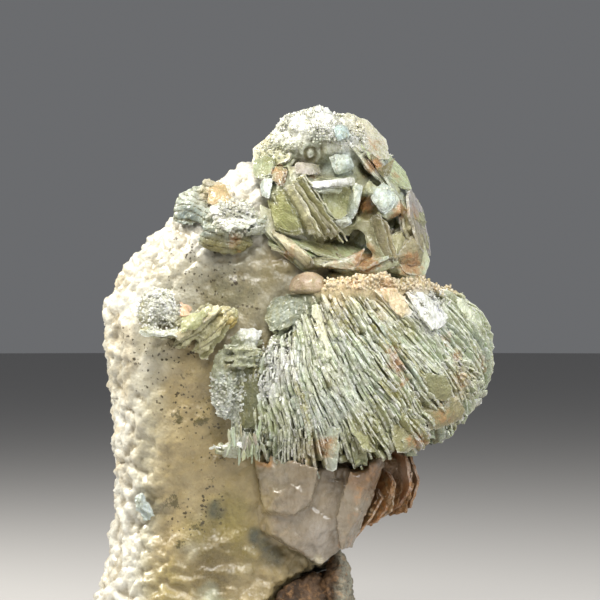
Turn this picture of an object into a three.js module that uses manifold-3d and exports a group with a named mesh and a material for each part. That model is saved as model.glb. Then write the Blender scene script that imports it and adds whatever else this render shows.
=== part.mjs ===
// Quartz with bladed calcite: a hand-sized mineral specimen that stands on its flat, broken foot.
// A white finger of drusy quartz carries pale green clusters of calcite blades: a rosette crowns it, a
// pleated fan wraps its right side, and small tufts, a knob and a book of leaves sit on its front.
// Millimetres, +Z up, front towards -Y. The origin is on the ground under the middle of the specimen's box.
import * as THREE from "three";
import { ConvexGeometry } from "three/addons/geometries/ConvexGeometry.js";
import { mergeVertices } from "three/addons/utils/BufferGeometryUtils.js";
import Module from "manifold-3d";

const wasm = await Module();
wasm.setup();

// Driving dimensions

const GAP = 0.3; // clear space between two minerals that touch
const GAP_SLACK = 0.15; // how much of it a neighbour's simplified copy may take
const FINE = 0.12; // how far a finished surface may be simplified
const WELD = 1e-4; // vertices closer than this are one

// Drusy bumps, and the broad swellings under them
const DRUSE = { cell: 3.0, height: 1.0 };
const SWELL = { cell: 6.5, height: 0.9 };
const DOME_REACH = 0.65; // squared distance, in cells, at which a bump ends
const DOME_MIDDLE = 0.65; // a bump's mean height as a share of its top

// The quartz finger, as rings that lean with its bent shoulder. Each station is its left and right edge as
// seen from the front, x and z, and how far it reaches forwards and back.
const FINGER = [
  { left: [-18.9, 0], right: [6.2, 0], front: 8.6, back: 8.8 },
  { left: [-20.0, 3.5], right: [6.6, 3.5], front: 9.3, back: 9.3 },
  { left: [-19.7, 7.0], right: [5.8, 7.0], front: 9.0, back: 9.3 },
  { left: [-18.4, 9.6], right: [4.8, 10.4], front: 8.4, back: 9.0 },
  { left: [-17.4, 13.0], right: [4.4, 14.5], front: 8.2, back: 8.8 },
  { left: [-17.1, 18], right: [4.4, 19], front: 8.3, back: 8.8 },
  { left: [-17.3, 23.5], right: [4.6, 23.5], front: 8.5, back: 8.8 },
  { left: [-17.4, 28], right: [5.0, 27.6], front: 8.7, back: 8.7 },
  { left: [-18.5, 32.5], right: [5.4, 31.5], front: 8.8, back: 8.6 },
  { left: [-18.1, 36.5], right: [6.0, 35.0], front: 8.6, back: 8.4 },
  { left: [-15.8, 40.6], right: [6.6, 38.2], front: 8.2, back: 8.0 },
  { left: [-12.7, 44.0], right: [7.0, 41.5], front: 7.5, back: 7.3 },
  { left: [-9.8, 46.9], right: [7.0, 44.5], front: 6.5, back: 6.4 },
  { left: [-6.8, 49.4], right: [6.2, 47.0], front: 5.0, back: 5.0 },
  { left: [-3.6, 51.0], right: [4.6, 49.2], front: 3.0, back: 3.0 },
  { left: [-0.9, 51.7], right: [2.6, 50.9], front: 1.0, back: 1.0 },
];
const FINGER_RINGS = 35;
const FINGER_SIDES = 36;
const FINGER_SQUARENESS = 2.3; // 2 is an ellipse, more is boxier
const FINGER_CROWN = 0.4; // how far the middle of the top stands over its rim
const PLAIN_FOOT = 0.06; // share of the height over which the bumps grow from nothing

// The seat of the fan, the rosette and the massive calcite has no bumps. Its edge leans back from the front:
// they fade from the first of each pair of numbers to the second.
const SEAT = { x: 1.5, lean: 0.45, across: [-1, 2], up: [10, 13] };

// A hollow in the foot's front right corner, where the rock shows
const NOTCH = [
  [-4.6, -16.0, -4.0], [-5.0, -16.0, 6.0], [-3.4, -16.0, 10.4], [5.0, -16.0, 12.0], [12.0, -16.0, 12.0],
  [12.0, -16.0, -4.0], [-2.6, -6.4, -4.0], [-2.4, -6.2, 6.0], [-1.0, -6.6, 9.2], [3.4, -4.0, 10.8],
  [4.4, 4.0, 9.6], [12.0, 5.0, 9.6], [3.4, 4.6, -4.0], [12.0, 5.0, -4.0],
];

// A plate's uneven outline, and the shares that make a stack of sheets stepped and closed
const SHEET = { corners: 7, stray: 0.4, reach: [0.86, 1.08], inner: 0.82, overlap: 1.04 };

// A broken lump: points round a ball at uneven distances. A hull's corners move out further than its faces
// have to, so that a grown copy clears the plain one everywhere.
const LUMP = { stray: 0.5, reach: [0.84, 1.06] };
const HULL_GROWTH = 1.5;

// The fan: leaves like the pages of a book that stands open round the finger's right side. Each leaf's free
// edge runs from a point on the top ridge to the point of the same number on the hem. The pages turn from
// the front, through the right, to the back, and their hem runs ahead of their ridge, so that they lean.
const FAN_HEART = [4.4, 0.5, 30.0];
const FAN_RIDGE = [
  [-2.2, -8.8, 33.6], [-0.4, -9.6, 36.2], [1.6, -10.2, 37.6], [3.4, -10.7, 38.2], [5.4, -11.0, 38.5],
  [7.8, -10.7, 38.7], [10.4, -9.6, 38.7], [13.0, -7.6, 38.6], [15.8, -4.4, 38.3], [17.9, -0.4, 37.8],
  [16.4, 4.2, 37.2], [11.0, 7.6, 37.4], [5.0, 9.2, 37.2],
];
const FAN_HEM = [
  [-4.0, -8.8, 22.6], [-1.2, -9.7, 20.6], [2.0, -10.5, 20.3], [5.6, -11.0, 20.5], [9.2, -10.7, 20.8],
  [12.4, -9.4, 21.4], [15.0, -7.4, 22.8], [17.2, -4.8, 24.8], [19.0, -1.6, 26.6], [19.4, 1.8, 27.2],
  [17.4, 5.4, 26.0], [11.6, 8.8, 23.6], [5.0, 9.8, 22.8],
];
const LEAVES = {
  count: 22,
  thickness: [0.8, 1.25],
  bulge: [0, 0.09, 0.13, 0.14, 0.13, 0.08, 0], // how far the free edge bows out, as a share of the reach
  reach: [0.95, 1.04], // uneven length of whole leaves
  edge: [0.98, 1.02], // uneven places along one free edge
  top: [0.36, -0.54], // uneven height of the upper end, and of the lower end
  hem: [-0.96, 0.64],
  root: 0.7, // where a leaf starts inside the core, as a share of its reach
  rootEnds: 0.86, // a leaf's height at its root as a share of its height at the edge
};
const FAN_CORE = 0.86; // reach of the leaves' common core, as a share of their own
const FAN_BUTTON = { at: [0.6, -9.4, 38.7], radii: [1.8, 1.6, 1.5], bump: 0.2 }; // at the ridge's left end

// The rosette: a lumpy heart with plates set round it like the petals of a cabbage
const ROSETTE_HEART = { at: [4.8, -0.4, 46.8], radii: [7.4, 5.9, 7.4], corners: 20, seed: 3 };
const ROSETTE_CAP = { at: [3.2, -1.9, 52.5], radii: [5.0, 4.3, 3.5], detail: 2, bump: 1.1, cell: 2.6 };
const ROSETTE_PLATES = [
  { at: [-1.0, -3.2, 51.4], size: [5.8, 5.4, 1.3], roll: 36, tilt: 46, seed: 12 },
  { at: [7.0, -2.4, 52.6], size: [6.6, 6.4, 1.3], roll: -44, tilt: 58, seed: 13 },
  { at: [9.0, -1.6, 50.8], size: [8.6, 9.2, 1.2], roll: -50, tilt: 74, seed: 14 },
  { at: [11.2, -1.4, 47.6], size: [8.6, 9.8, 1.2], roll: -57, tilt: 76, seed: 15 },
  { at: [12.6, -1.8, 44.2], size: [7.6, 9.0, 1.4], roll: -72, tilt: 74, seed: 16, sheets: 2 },
  { at: [11.6, -4.2, 41.5], size: [6.8, 5.6, 1.3], roll: -80, tilt: 44, seed: 17 },
  { at: [4.3, -5.4, 48.8], size: [5.6, 4.6, 1.0], roll: -5, tilt: 80, seed: 36 },
  { at: [4.6, -5.8, 46.2], size: [5.8, 5.0, 1.1], roll: -10, tilt: -14, seed: 19 },
  { at: [7.0, -6.4, 46.0], size: [6.0, 3.6, 1.0], roll: 66, tilt: 62, seed: 20 },
  { at: [-1.3, -5.8, 46.4], size: [6.2, 4.2, 1.2], roll: -76, tilt: -42, seed: 21 },
  { at: [2.8, -6.0, 42.4], size: [11.2, 7.4, 1.2], roll: -16, tilt: 62, seed: 22 },
  { at: [-0.2, -7.2, 42.8], size: [8.4, 3.0, 1.1], roll: -45, tilt: 24, seed: 23 },
  { at: [7.2, -5.2, 40.8], size: [8.2, 7.0, 1.4], roll: 12, tilt: 70, seed: 24, sheets: 2 },
  { at: [9.6, -6.4, 46.4], size: [4.6, 4.0, 1.2], roll: -48, tilt: 22, seed: 25 },
  { at: [8.8, -6.4, 42.8], size: [7.0, 3.8, 1.5], roll: -66, tilt: 58, seed: 26, sheets: 2 },
  { at: [9.0, 3.6, 47.8], size: [9.6, 8.4, 1.4], roll: -50, tilt: 114, seed: 28 },
  { at: [3.6, 5.0, 46.0], size: [9.6, 8.2, 1.4], roll: -14, tilt: 160, seed: 29 },
  { at: [10.4, 4.2, 42.4], size: [8.0, 7.0, 1.4], roll: -74, tilt: 120, seed: 30 },
  { at: [-1.0, 3.4, 49.6], size: [6.6, 6.4, 1.4], roll: 26, tilt: 128, seed: 31 },
];
// The upright book in the rosette's face: parallel blades seen nearly edge on
const ROSETTE_BLADES = {
  at: [0.7, -6.9, 45.0],
  step: [0.72, -0.05, 0.5],
  count: 5,
  size: [9.6, 4.6, 0.5],
  roll: -50,
  tilt: 68,
};

// Small clusters sit on the finger's front: "on" is their x and z there, and how far they stand off it

// The knob and its crusted ledges on the left shoulder
const KNOB_MASSES = [
  { at: [-9.2, -4.2, 45.2], radii: [2.2, 2.8, 3.2], detail: 2, bump: 0.6, cell: 1.7 },
  { on: [-5.6, 44.8, 0.7], radii: [3.3, 2.0, 1.8], bump: 0.7, cell: 1.9 },
  { on: [-6.0, 42.7, 0.3], radii: [3.0, 1.9, 1.6], bump: 0.4, cell: 1.6 },
];
const KNOB_PLATES = [
  { at: [-7.0, -4.6, 47.4], size: [4.2, 3.2, 1.2], roll: -34, tilt: 48, seed: 51 },
  { on: [-6.0, 44.0, 1.9], size: [5.4, 3.4, 0.8], roll: 4, tilt: 76, seed: 52 },
  { on: [-3.6, 44.3, 1.6], size: [4.2, 3.2, 0.8], roll: 24, tilt: 66, seed: 53 },
];

// A tuft of leaves, with a crust at its left
const TUFT_MASSES = [
  { on: [-12.6, 36.0, 0.1], radii: [2.3, 1.5, 2.1], bump: 0.6, cell: 1.3 },
  { on: [-9.6, 34.4, -0.2], radii: [2.4, 1.5, 1.5], bump: 0.3 },
  { on: [-5.8, 35.2, 0.5], radii: [1.4, 1.4, 1.4], bump: 0.2 },
];
const TUFT_PLATES = [
  { on: [-11.6, 33.8, 0.7], size: [6.0, 3.2, 0.8], roll: -4, tilt: 78, seed: 61 },
  { on: [-8.9, 34.6, 0.8], size: [6.4, 3.4, 0.8], roll: 50, tilt: 56, seed: 62 },
  { on: [-7.4, 34.0, 0.9], size: [6.0, 3.4, 0.8], roll: 56, tilt: 58, seed: 63 },
  { on: [-10.6, 35.4, 0.7], size: [3.2, 2.6, 0.8], roll: -8, tilt: 30, seed: 64 },
];

// The small book beside the fan, with its frosted column and a sharp blade at its foot
const SMALL_BOOK_MASSES = [
  { on: [-6.0, 29.2, 0.4], radii: [1.5, 1.5, 3.8], bump: 0.6, cell: 1.3 },
  { on: [-3.9, 33.3, 0.7], radii: [1.8, 1.6, 1.0], bump: 0.2 },
  { on: [-3.8, 27.0, -0.3], radii: [2.2, 1.5, 5.4], bump: 0.2 },
];
const SMALL_BOOK_LEAVES = {
  on: [-4.2, 30.9, 0.8],
  step: [0.05, 0, 0.8],
  count: 3,
  size: [4.8, 4.2, 0.45],
  roll: -3,
  tilt: 82,
};
const SMALL_BOOK_PLATES = [
  { on: [-5.2, 22.7, 0.7], size: [5.0, 2.0, 0.8], roll: 5, tilt: 50, seed: 71 },
  { on: [-4.6, 26.6, 0.8], size: [8.6, 2.4, 0.6], roll: 88, tilt: 74, seed: 72 },
  { on: [-3.6, 23.6, 0.9], size: [4.2, 2.4, 0.7], roll: 66, tilt: 62, seed: 73 },
];

// One blade of its own low on the finger's left
const FLAKE = { on: [-13.7, 17.0, 0.4], size: [3.6, 2.2, 1.0], roll: -58, tilt: 24, sheets: 2, seed: 99 };

// Massive calcite under the fan: blocks that end in flat cleavage faces
const SPAR_BLOCKS = [
  [
    [-4.8, -8.9, 24.0], [1.0, -10.0, 23.8], [8.8, -8.2, 24.0], [9.2, -2.0, 24.0], [-5.0, -8.7, 19.0],
    [-3.6, -9.0, 15.2], [0.4, -10.2, 13.3], [3.2, -8.2, 11.3], [5.6, -7.8, 13.2], [6.6, -8.4, 16.4],
    [8.2, -7.8, 18.8], [-2.0, 0.0, 23.5], [8.0, 1.5, 23.5], [6.4, 0.5, 14.0], [0.0, 0.5, 12.6],
  ],
  [
    [8.4, -9.2, 22.8], [9.9, -7.4, 23.2], [7.0, -9.8, 17.4], [8.1, -7.8, 17.0], [5.2, -9.2, 12.8],
    [6.3, -7.4, 12.9], [5.0, -4.0, 14.0], [8.0, -3.0, 22.0], [6.0, -10.4, 21.0], [4.6, -9.8, 16.0],
  ],
  [
    [-3.4, -9.9, 22.6], [2.9, -11.3, 21.0], [2.4, -11.0, 18.0], [0.6, -11.2, 16.4], [-2.2, -10.6, 17.0],
    [-3.9, -7.0, 21.6], [3.8, -7.0, 21.8], [2.8, -7.0, 15.8], [-2.6, -7.0, 15.4],
  ],
];

// Rusty cleavage plates on its right, stacked steeply with hollows between them
const RUST_BLOCK = [
  [6.4, -6.0, 22.8], [10.4, -5.0, 22.8], [10.2, -4.4, 18.0], [7.8, -6.0, 16.2], [6.2, -6.0, 15.0],
  [5.4, 0.0, 15.2], [9.6, 1.0, 18.2], [10.2, 0.0, 22.8], [5.0, 1.0, 22.8],
];
const RUST_PLATES = [
  { at: [10.3, -3.6, 19.0], size: [7.4, 6.2, 1.3], roll: 86, tilt: 52, seed: 91, sheets: 2 },
  { at: [8.6, -5.4, 17.6], size: [6.4, 4.8, 1.0], roll: 64, tilt: 46, seed: 92 },
  { at: [6.9, -6.2, 16.4], size: [6.6, 4.0, 1.0], roll: 58, tilt: 60, seed: 93 },
  { at: [9.0, -1.4, 16.6], size: [4.8, 6.6, 1.1], roll: 24, tilt: 82, seed: 94 },
  { at: [7.4, 0.6, 17.8], size: [6.6, 6.0, 1.1], roll: 70, tilt: 104, seed: 95 },
];

// Iron-stained rock left on the foot's right side, cut flat on the ground
const ROCK_LUMPS = [
  { at: [0.6, -4.2, 4.6], radii: [5.4, 4.4, 6.8], corners: 44, seed: 5 },
  { at: [4.6, -3.4, 8.0], radii: [1.9, 4.4, 4.8], corners: 30, seed: 6 },
  { at: [4.4, -0.8, 4.2], radii: [2.4, 6.0, 6.4], corners: 34, seed: 7 },
];

const { degToRad, lerp, smoothstep } = THREE.MathUtils;
const vector = (point) => new THREE.Vector3(...point);

// Repeatable random numbers from 0 to 1
function dice(seed) {
  let state = seed;
  return () => {
    state = (state * 16807) % 2147483647;
    return state / 2147483647;
  };
}

// A random number from 0 to 1 that belongs to one cell of a cubic grid
function cellRandom(i, j, k, which) {
  const s = Math.sin(i * 127.1 + j * 311.7 + k * 74.7 + which * 53.3) * 43758.5453;
  return s - Math.floor(s);
}

// Rounded bumps packed side by side: 1 on top of a bump, falling to 0 in the creases between them
function domes(p, cell) {
  const [x, y, z] = [p.x / cell, p.y / cell, p.z / cell];
  const [i0, j0, k0] = [Math.floor(x), Math.floor(y), Math.floor(z)];
  let nearest = Infinity;
  for (let i = i0 - 1; i <= i0 + 1; i++)
    for (let j = j0 - 1; j <= j0 + 1; j++)
      for (let k = k0 - 1; k <= k0 + 1; k++) {
        const dx = i + cellRandom(i, j, k, 1) - x;
        const dy = j + cellRandom(i, j, k, 2) - y;
        const dz = k + cellRandom(i, j, k, 3) - z;
        nearest = Math.min(nearest, dx * dx + dy * dy + dz * dz);
      }
  return Math.sqrt(Math.max(0, 1 - nearest / DOME_REACH));
}

// Closed geometry to a solid, and back
function solidOf(geometry) {
  const g = geometry.clone();
  g.deleteAttribute("normal");
  g.deleteAttribute("uv");
  const merged = mergeVertices(g, WELD);
  const vertProperties = merged.attributes.position.array;
  const triVerts = new Uint32Array(merged.index.array);
  return new wasm.Manifold(new wasm.Mesh({ numProp: 3, vertProperties, triVerts }));
}

function geometryOf(solid) {
  const mesh = solid.getMesh();
  const g = new THREE.BufferGeometry();
  g.setAttribute("position", new THREE.BufferAttribute(new Float32Array(mesh.vertProperties), 3));
  g.setIndex(new THREE.BufferAttribute(new Uint32Array(mesh.triVerts), 1));
  g.computeVertexNormals();
  return g;
}

function joined(solids) {
  return solids.reduce((all, one) => all.add(one));
}

// A solid's largest piece, without chips and with its sealed hollows filled
function largestOf(solid) {
  return solid.decompose().reduce((a, b) => (a.volume() > b.volume() ? a : b));
}

// What is left of a solid beside its neighbours, with no more faces than its shape needs
function cutBy(solid, neighbours) {
  const left = neighbours.reduce((rest, one) => rest.subtract(one), solid);
  return largestOf(largestOf(left).simplify(FINE));
}

// The turn of a plate. Unturned, it faces the front with its length along X. tilt leans its upper edge back,
// and roll turns it anticlockwise as seen from the front.
function attitude(roll, tilt) {
  const rolled = new THREE.Matrix4().makeRotationY(-degToRad(roll));
  return rolled.multiply(new THREE.Matrix4().makeRotationX(-degToRad(tilt)));
}

// One sheet of a plate: an uneven outline with flat sides, extruded to the plate's thickness
function sheet(length, width, thickness, offset, random, grow) {
  const outline = new THREE.Shape();
  for (let i = 0; i < SHEET.corners; i++) {
    const a = ((i + SHEET.stray * random()) / SHEET.corners) * 2 * Math.PI;
    const reach = lerp(...SHEET.reach, random());
    const x = Math.cos(a) * ((length / 2) * reach + grow);
    const z = Math.sin(a) * ((width / 2) * reach + grow);
    if (i) outline.lineTo(x, z);
    else outline.moveTo(x, z);
  }
  outline.closePath();
  const g = new THREE.ExtrudeGeometry(outline, { depth: thickness + 2 * grow, bevelEnabled: false });
  g.translate(0, 0, offset - thickness / 2 - grow);
  g.rotateX(Math.PI / 2); // the outline's plane is now the plate's face, XZ
  return g;
}

// A book of parallel calcite sheets, each with its own outline, so that its edges are stepped
function book({ at, on, size, roll, tilt, sheets = 1, seed }, grow = 0) {
  const [length, width, thickness] = size;
  const random = dice(seed * 7919);
  const each = thickness / sheets;
  const made = [];
  for (let i = 0; i < sheets; i++) {
    const offset = (i - (sheets - 1) / 2) * each;
    const share = i % 2 ? SHEET.inner : 1;
    const g = sheet(length * share, width * share, each * SHEET.overlap, offset, random, grow);
    g.applyMatrix4(attitude(roll, tilt));
    g.translate(...(at ?? onFinger(...on)));
    made.push(solidOf(g));
  }
  return joined(made);
}

// Parallel blades a step apart
function blades({ at, on, step, count, ...blade }, grow) {
  const first = at ?? onFinger(...on);
  const place = (i) => first.map((v, k) => v + step[k] * i);
  return Array.from({ length: count }, (_, i) => book({ ...blade, at: place(i), seed: 40 + i }, grow));
}

// An angular block: the convex hull of its corners
function block(corners, grow = 0) {
  const points = corners.map(vector);
  const middle = points.reduce((sum, p) => sum.add(p), new THREE.Vector3()).divideScalar(points.length);
  for (const p of points) p.addScaledVector(p.clone().sub(middle).normalize(), HULL_GROWTH * grow);
  return solidOf(new ConvexGeometry(points));
}

// A broken lump: the hull of points spread over a ball that is stretched to its radii
function lump({ at, radii, corners, seed }, grow = 0) {
  const random = dice(seed * 6007);
  const goldenAngle = Math.PI * (3 - Math.sqrt(5));
  const points = [];
  for (let i = 0; i < corners; i++) {
    const up = 1 - (2 * (i + 0.5)) / corners;
    const a = i * goldenAngle + LUMP.stray * random();
    const level = Math.sqrt(1 - up * up);
    const reach = lerp(...LUMP.reach, random());
    const direction = [Math.cos(a) * level, Math.sin(a) * level, up];
    points.push(direction.map((d, k) => at[k] + d * radii[k] * reach));
  }
  return block(points, grow);
}

// A lumpy mass: a ball stretched to its radii, with rounded bumps
function mass({ at, on, radii, detail = 1, bump, cell = 2.2 }, grow = 0) {
  const g = new THREE.IcosahedronGeometry(1, detail);
  const { position } = g.attributes;
  const middle = vector(at ?? onFinger(...on));
  const p = new THREE.Vector3();
  const out = new THREE.Vector3();
  for (let i = 0; i < position.count; i++) {
    out.fromBufferAttribute(position, i);
    p.copy(out).multiply(vector(radii)).add(middle);
    p.addScaledVector(out, bump * (domes(p, cell) - DOME_MIDDLE) + grow);
    position.setXYZ(i, p.x, p.y, p.z);
  }
  return solidOf(g);
}

// 1 where the quartz is bare and drusy, 0 in the seat
function bareness(p) {
  const inSeat = smoothstep(p.x - SEAT.x - SEAT.lean * p.y, ...SEAT.across);
  return 1 - inSeat * smoothstep(p.z, ...SEAT.up);
}

function quartzFinger(grow = 0) {
  const edge = (side) => new THREE.SplineCurve(FINGER.map((s) => new THREE.Vector2(...s[side])));
  const [left, right] = [edge("left"), edge("right")];
  const reach = new THREE.SplineCurve(FINGER.map((s) => new THREE.Vector2(s.front, s.back)));
  const g = new THREE.CylinderGeometry(1, 1, 1, FINGER_SIDES, FINGER_RINGS);
  const { position } = g.attributes;
  const p = new THREE.Vector3();
  const out = new THREE.Vector3();
  const squared = (value) => Math.sign(value) * Math.abs(value) ** (2 / FINGER_SQUARENESS);
  for (let i = 0; i < position.count; i++) {
    p.fromBufferAttribute(position, i);
    const t = p.y + 0.5; // 0 at the foot, 1 at the top
    const onRing = Math.hypot(p.x, p.z) > 0.5 ? 1 : 0; // 0 at the middle of the two ends
    const a = Math.atan2(-p.z, p.x);
    const [l, r, depth] = [left.getPoint(t), right.getPoint(t), reach.getPoint(t)];
    const across = squared(Math.cos(a)) * onRing;
    const inward = squared(Math.sin(a)) * onRing;
    const y = inward > 0 ? inward * depth.y : inward * depth.x;
    const middle = l.clone().add(r).multiplyScalar(0.5);
    const half = r.clone().sub(l).multiplyScalar(0.5);
    p.set(middle.x + half.x * across, y, middle.y + half.y * across);
    out.set(p.x - middle.x, p.y, p.z - middle.y).normalize();
    const settled = smoothstep(t, 0, PLAIN_FOOT);
    const bumps = [DRUSE, SWELL].map(({ cell, height }) => height * (domes(p, cell) - DOME_MIDDLE));
    p.addScaledVector(out, onRing * ((bumps[0] + bumps[1]) * settled * bareness(p) + grow));
    if (t < WELD) p.z = -grow;
    if (t > 1 - WELD) p.z += grow + FINGER_CROWN * (1 - onRing);
    position.setXYZ(i, p.x, p.y, p.z);
  }
  return solidOf(g);
}

const finger = quartzFinger().subtract(block(NOTCH));

// A point of the finger's front as seen at x and z, lifted off it by so much
const fingerMesh = new THREE.Mesh(geometryOf(finger));
const inwards = new THREE.Vector3(0, 1, 0);
function onFinger(x, z, lift) {
  const before = new THREE.Vector3(x, -40, z);
  const [hit] = new THREE.Raycaster(before, inwards).intersectObject(fingerMesh);
  if (!hit) throw new Error(`no quartz at ${x}, ${z}`);
  return [x, hit.point.y - lift, z];
}

// The free edge of the leaf at t, from 0 at the front's left round to 1 at the back. Its points are a reach
// out from the fan's upright middle line and a drop along the leaf.
function fanEdge(t, random) {
  const curve = (points) => new THREE.CatmullRomCurve3(points.map(vector));
  const heart = vector(FAN_HEART);
  const top = curve(FAN_RIDGE).getPoint(t);
  const hem = curve(FAN_HEM).getPoint(t);
  const down = hem.clone().sub(top).normalize();
  const away = top.clone().lerp(hem, 0.5).sub(heart);
  const out = away.clone().addScaledVector(down, -away.dot(down));
  const reach = out.length() * lerp(...LEAVES.reach, random());
  const first = top.clone().sub(heart).dot(down) + lerp(...LEAVES.top, random());
  const last = hem.clone().sub(heart).dot(down) + lerp(...LEAVES.hem, random());
  out.normalize();
  const points = LEAVES.bulge.map((bulge, i) => [
    reach * (1 + bulge) * lerp(...LEAVES.edge, random()),
    lerp(first, last, i / (LEAVES.bulge.length - 1)),
  ]);
  return { heart, out, down, points };
}

function fanLeaf(t, random, grow) {
  const { heart, out, down, points } = fanEdge(t, random);
  const thickness = lerp(...LEAVES.thickness, random()) + 2 * grow;
  const outline = new THREE.Shape();
  const root = points[0][0] * LEAVES.root - grow;
  const middle = (points.length - 1) / 2;
  outline.moveTo(root, points[0][1] * LEAVES.rootEnds - grow);
  points.forEach(([u, v], i) => outline.lineTo(u + grow, v + grow * Math.sign(i - middle)));
  outline.lineTo(root, points.at(-1)[1] * LEAVES.rootEnds + grow);
  outline.closePath();
  const g = new THREE.ExtrudeGeometry(outline, { depth: thickness, bevelEnabled: false });
  g.translate(0, 0, -thickness / 2);
  g.applyMatrix4(new THREE.Matrix4().makeBasis(out, down, out.clone().cross(down)).setPosition(heart));
  return solidOf(g);
}

function fanCore(grow) {
  const corners = [];
  const steady = () => 0.5;
  for (let i = 0; i < LEAVES.count; i += 3) {
    const { heart, out, down, points } = fanEdge(i / (LEAVES.count - 1), steady);
    for (const [u, v] of points.filter((_, k) => k % 2)) {
      const corner = heart.clone().addScaledVector(out, u * FAN_CORE).addScaledVector(down, v * FAN_CORE);
      corners.push(corner.toArray());
    }
  }
  return block(corners, grow);
}

function fan(grow = 0) {
  const random = dice(4177);
  const leaves = [];
  for (let i = 0; i < LEAVES.count; i++) leaves.push(fanLeaf(i / (LEAVES.count - 1), random, grow));
  return joined([...leaves, fanCore(grow), mass(FAN_BUTTON, grow)]);
}

// Masses and plates grown together in one cluster
function cluster(masses, plates, grow = 0) {
  return joined([...masses.map((m) => mass(m, grow)), ...plates.map((p) => book(p, grow))]);
}

function rosette(grow = 0) {
  const petals = cluster([ROSETTE_CAP], ROSETTE_PLATES, grow);
  return joined([lump(ROSETTE_HEART, grow), petals, ...blades(ROSETTE_BLADES, grow)]);
}

function knob(grow = 0) {
  return cluster(KNOB_MASSES, KNOB_PLATES, grow);
}

function tuft(grow = 0) {
  return cluster(TUFT_MASSES, TUFT_PLATES, grow);
}

function smallBook(grow = 0) {
  return joined([cluster(SMALL_BOOK_MASSES, SMALL_BOOK_PLATES, grow), ...blades(SMALL_BOOK_LEAVES, grow)]);
}

function spar(grow = 0) {
  return joined(SPAR_BLOCKS.map((b) => block(b, grow)));
}

function rust(grow = 0) {
  return joined([block(RUST_BLOCK, grow), ...RUST_PLATES.map((p) => book(p, grow))]);
}

function rock(grow = 0) {
  return joined(ROCK_LUMPS.map((l) => lump(l, grow)));
}

// Each mineral is cut back to clear the ones it grew on, by a grown and simplified copy of them
const clearOf = (build) => build(GAP + GAP_SLACK).simplify(GAP_SLACK);
const clearOfFinger = clearOf((grow) => quartzFinger(grow).subtract(block(NOTCH, -grow)));
const clearOfFan = clearOf(fan);
const clearOfRosette = clearOf(rosette);
const clearOfTuft = clearOf(tuft);
const clearOfSpar = clearOf(spar);
const clearOfRust = clearOf(rust);
const belowGround = solidOf(new THREE.BoxGeometry(80, 80, 20).translate(0, 0, -10));

const SOLIDS = {
  quartz_finger: largestOf(finger.simplify(FINE)),
  calcite_fan: cutBy(fan(), [clearOfFinger]),
  calcite_rosette: cutBy(rosette(), [clearOfFinger, clearOfFan]),
  shoulder_knob: cutBy(knob(), [clearOfFinger, clearOfRosette]),
  leaf_tuft: cutBy(tuft(), [clearOfFinger]),
  small_book: cutBy(smallBook(), [clearOfFinger, clearOfFan, clearOfTuft, clearOfSpar]),
  massive_calcite: cutBy(spar(), [clearOfFinger, clearOfFan]),
  rusty_plates: cutBy(rust(), [clearOfFinger, clearOfFan, clearOfSpar]),
  rock_matrix: cutBy(rock(), [clearOfFinger, clearOfSpar, clearOfRust, belowGround]),
  low_flake: cutBy(book(FLAKE), [clearOfFinger]),
};

const FINISHES = {
  quartz_finger: { color: 0xe9e4d6, roughness: 0.45 },
  calcite_fan: { color: 0xb9c2a2, roughness: 0.4 },
  calcite_rosette: { color: 0xb4bfa6, roughness: 0.4 },
  shoulder_knob: { color: 0xa9b3a6, roughness: 0.5 },
  leaf_tuft: { color: 0xc4c495, roughness: 0.45 },
  small_book: { color: 0xa8ad86, roughness: 0.4 },
  massive_calcite: { color: 0xb6a791, roughness: 0.3 },
  rusty_plates: { color: 0xa9805c, roughness: 0.55 },
  rock_matrix: { color: 0x6b4c30, roughness: 0.85 },
  low_flake: { color: 0x93a59f, roughness: 0.4 },
};

const specimen = new THREE.Group();
for (const [name, solid] of Object.entries(SOLIDS)) {
  const material = new THREE.MeshStandardMaterial({ ...FINISHES[name], metalness: 0 });
  const mesh = new THREE.Mesh(geometryOf(solid), material);
  mesh.name = name;
  specimen.add(mesh);
}

export default specimen;
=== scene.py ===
# %% [markdown]
# # Quartz with bladed calcite
# The specimen is a white finger of drusy quartz, about 5 cm tall, with pale green calcite grown on it. The
# frame already holds one plain solid for each mineral, at its real size and place. This notebook gives each
# of them a surface: bumps, blades, grains and broken edges as real mesh, and the colours as procedural
# materials. Everything below is written in millimetres, and turned into metres when a piece is finished.

# %% Load the frame
import math
import random

import bmesh
import bpy
from mathutils import Matrix, Vector, noise
from mathutils.bvhtree import BVHTree


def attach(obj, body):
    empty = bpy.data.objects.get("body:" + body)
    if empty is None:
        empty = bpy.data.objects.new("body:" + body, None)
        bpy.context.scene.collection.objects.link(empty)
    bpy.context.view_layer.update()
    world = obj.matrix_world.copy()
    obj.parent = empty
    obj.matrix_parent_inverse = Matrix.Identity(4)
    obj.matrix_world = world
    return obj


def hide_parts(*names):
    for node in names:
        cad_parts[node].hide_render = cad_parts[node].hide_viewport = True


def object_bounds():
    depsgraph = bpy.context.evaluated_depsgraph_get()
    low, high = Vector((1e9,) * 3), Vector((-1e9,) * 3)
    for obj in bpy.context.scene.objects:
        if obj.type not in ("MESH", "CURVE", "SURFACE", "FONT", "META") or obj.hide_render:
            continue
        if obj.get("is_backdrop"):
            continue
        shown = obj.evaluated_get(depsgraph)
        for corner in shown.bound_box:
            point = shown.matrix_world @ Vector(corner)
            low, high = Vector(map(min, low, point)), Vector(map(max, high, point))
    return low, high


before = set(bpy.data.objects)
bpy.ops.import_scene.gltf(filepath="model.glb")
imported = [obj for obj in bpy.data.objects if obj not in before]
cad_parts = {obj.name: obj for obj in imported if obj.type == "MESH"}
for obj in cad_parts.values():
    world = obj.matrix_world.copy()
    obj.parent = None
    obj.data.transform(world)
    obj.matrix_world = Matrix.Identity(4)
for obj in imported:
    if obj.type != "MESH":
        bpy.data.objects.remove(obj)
cad_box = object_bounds()
MM = 0.001
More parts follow.
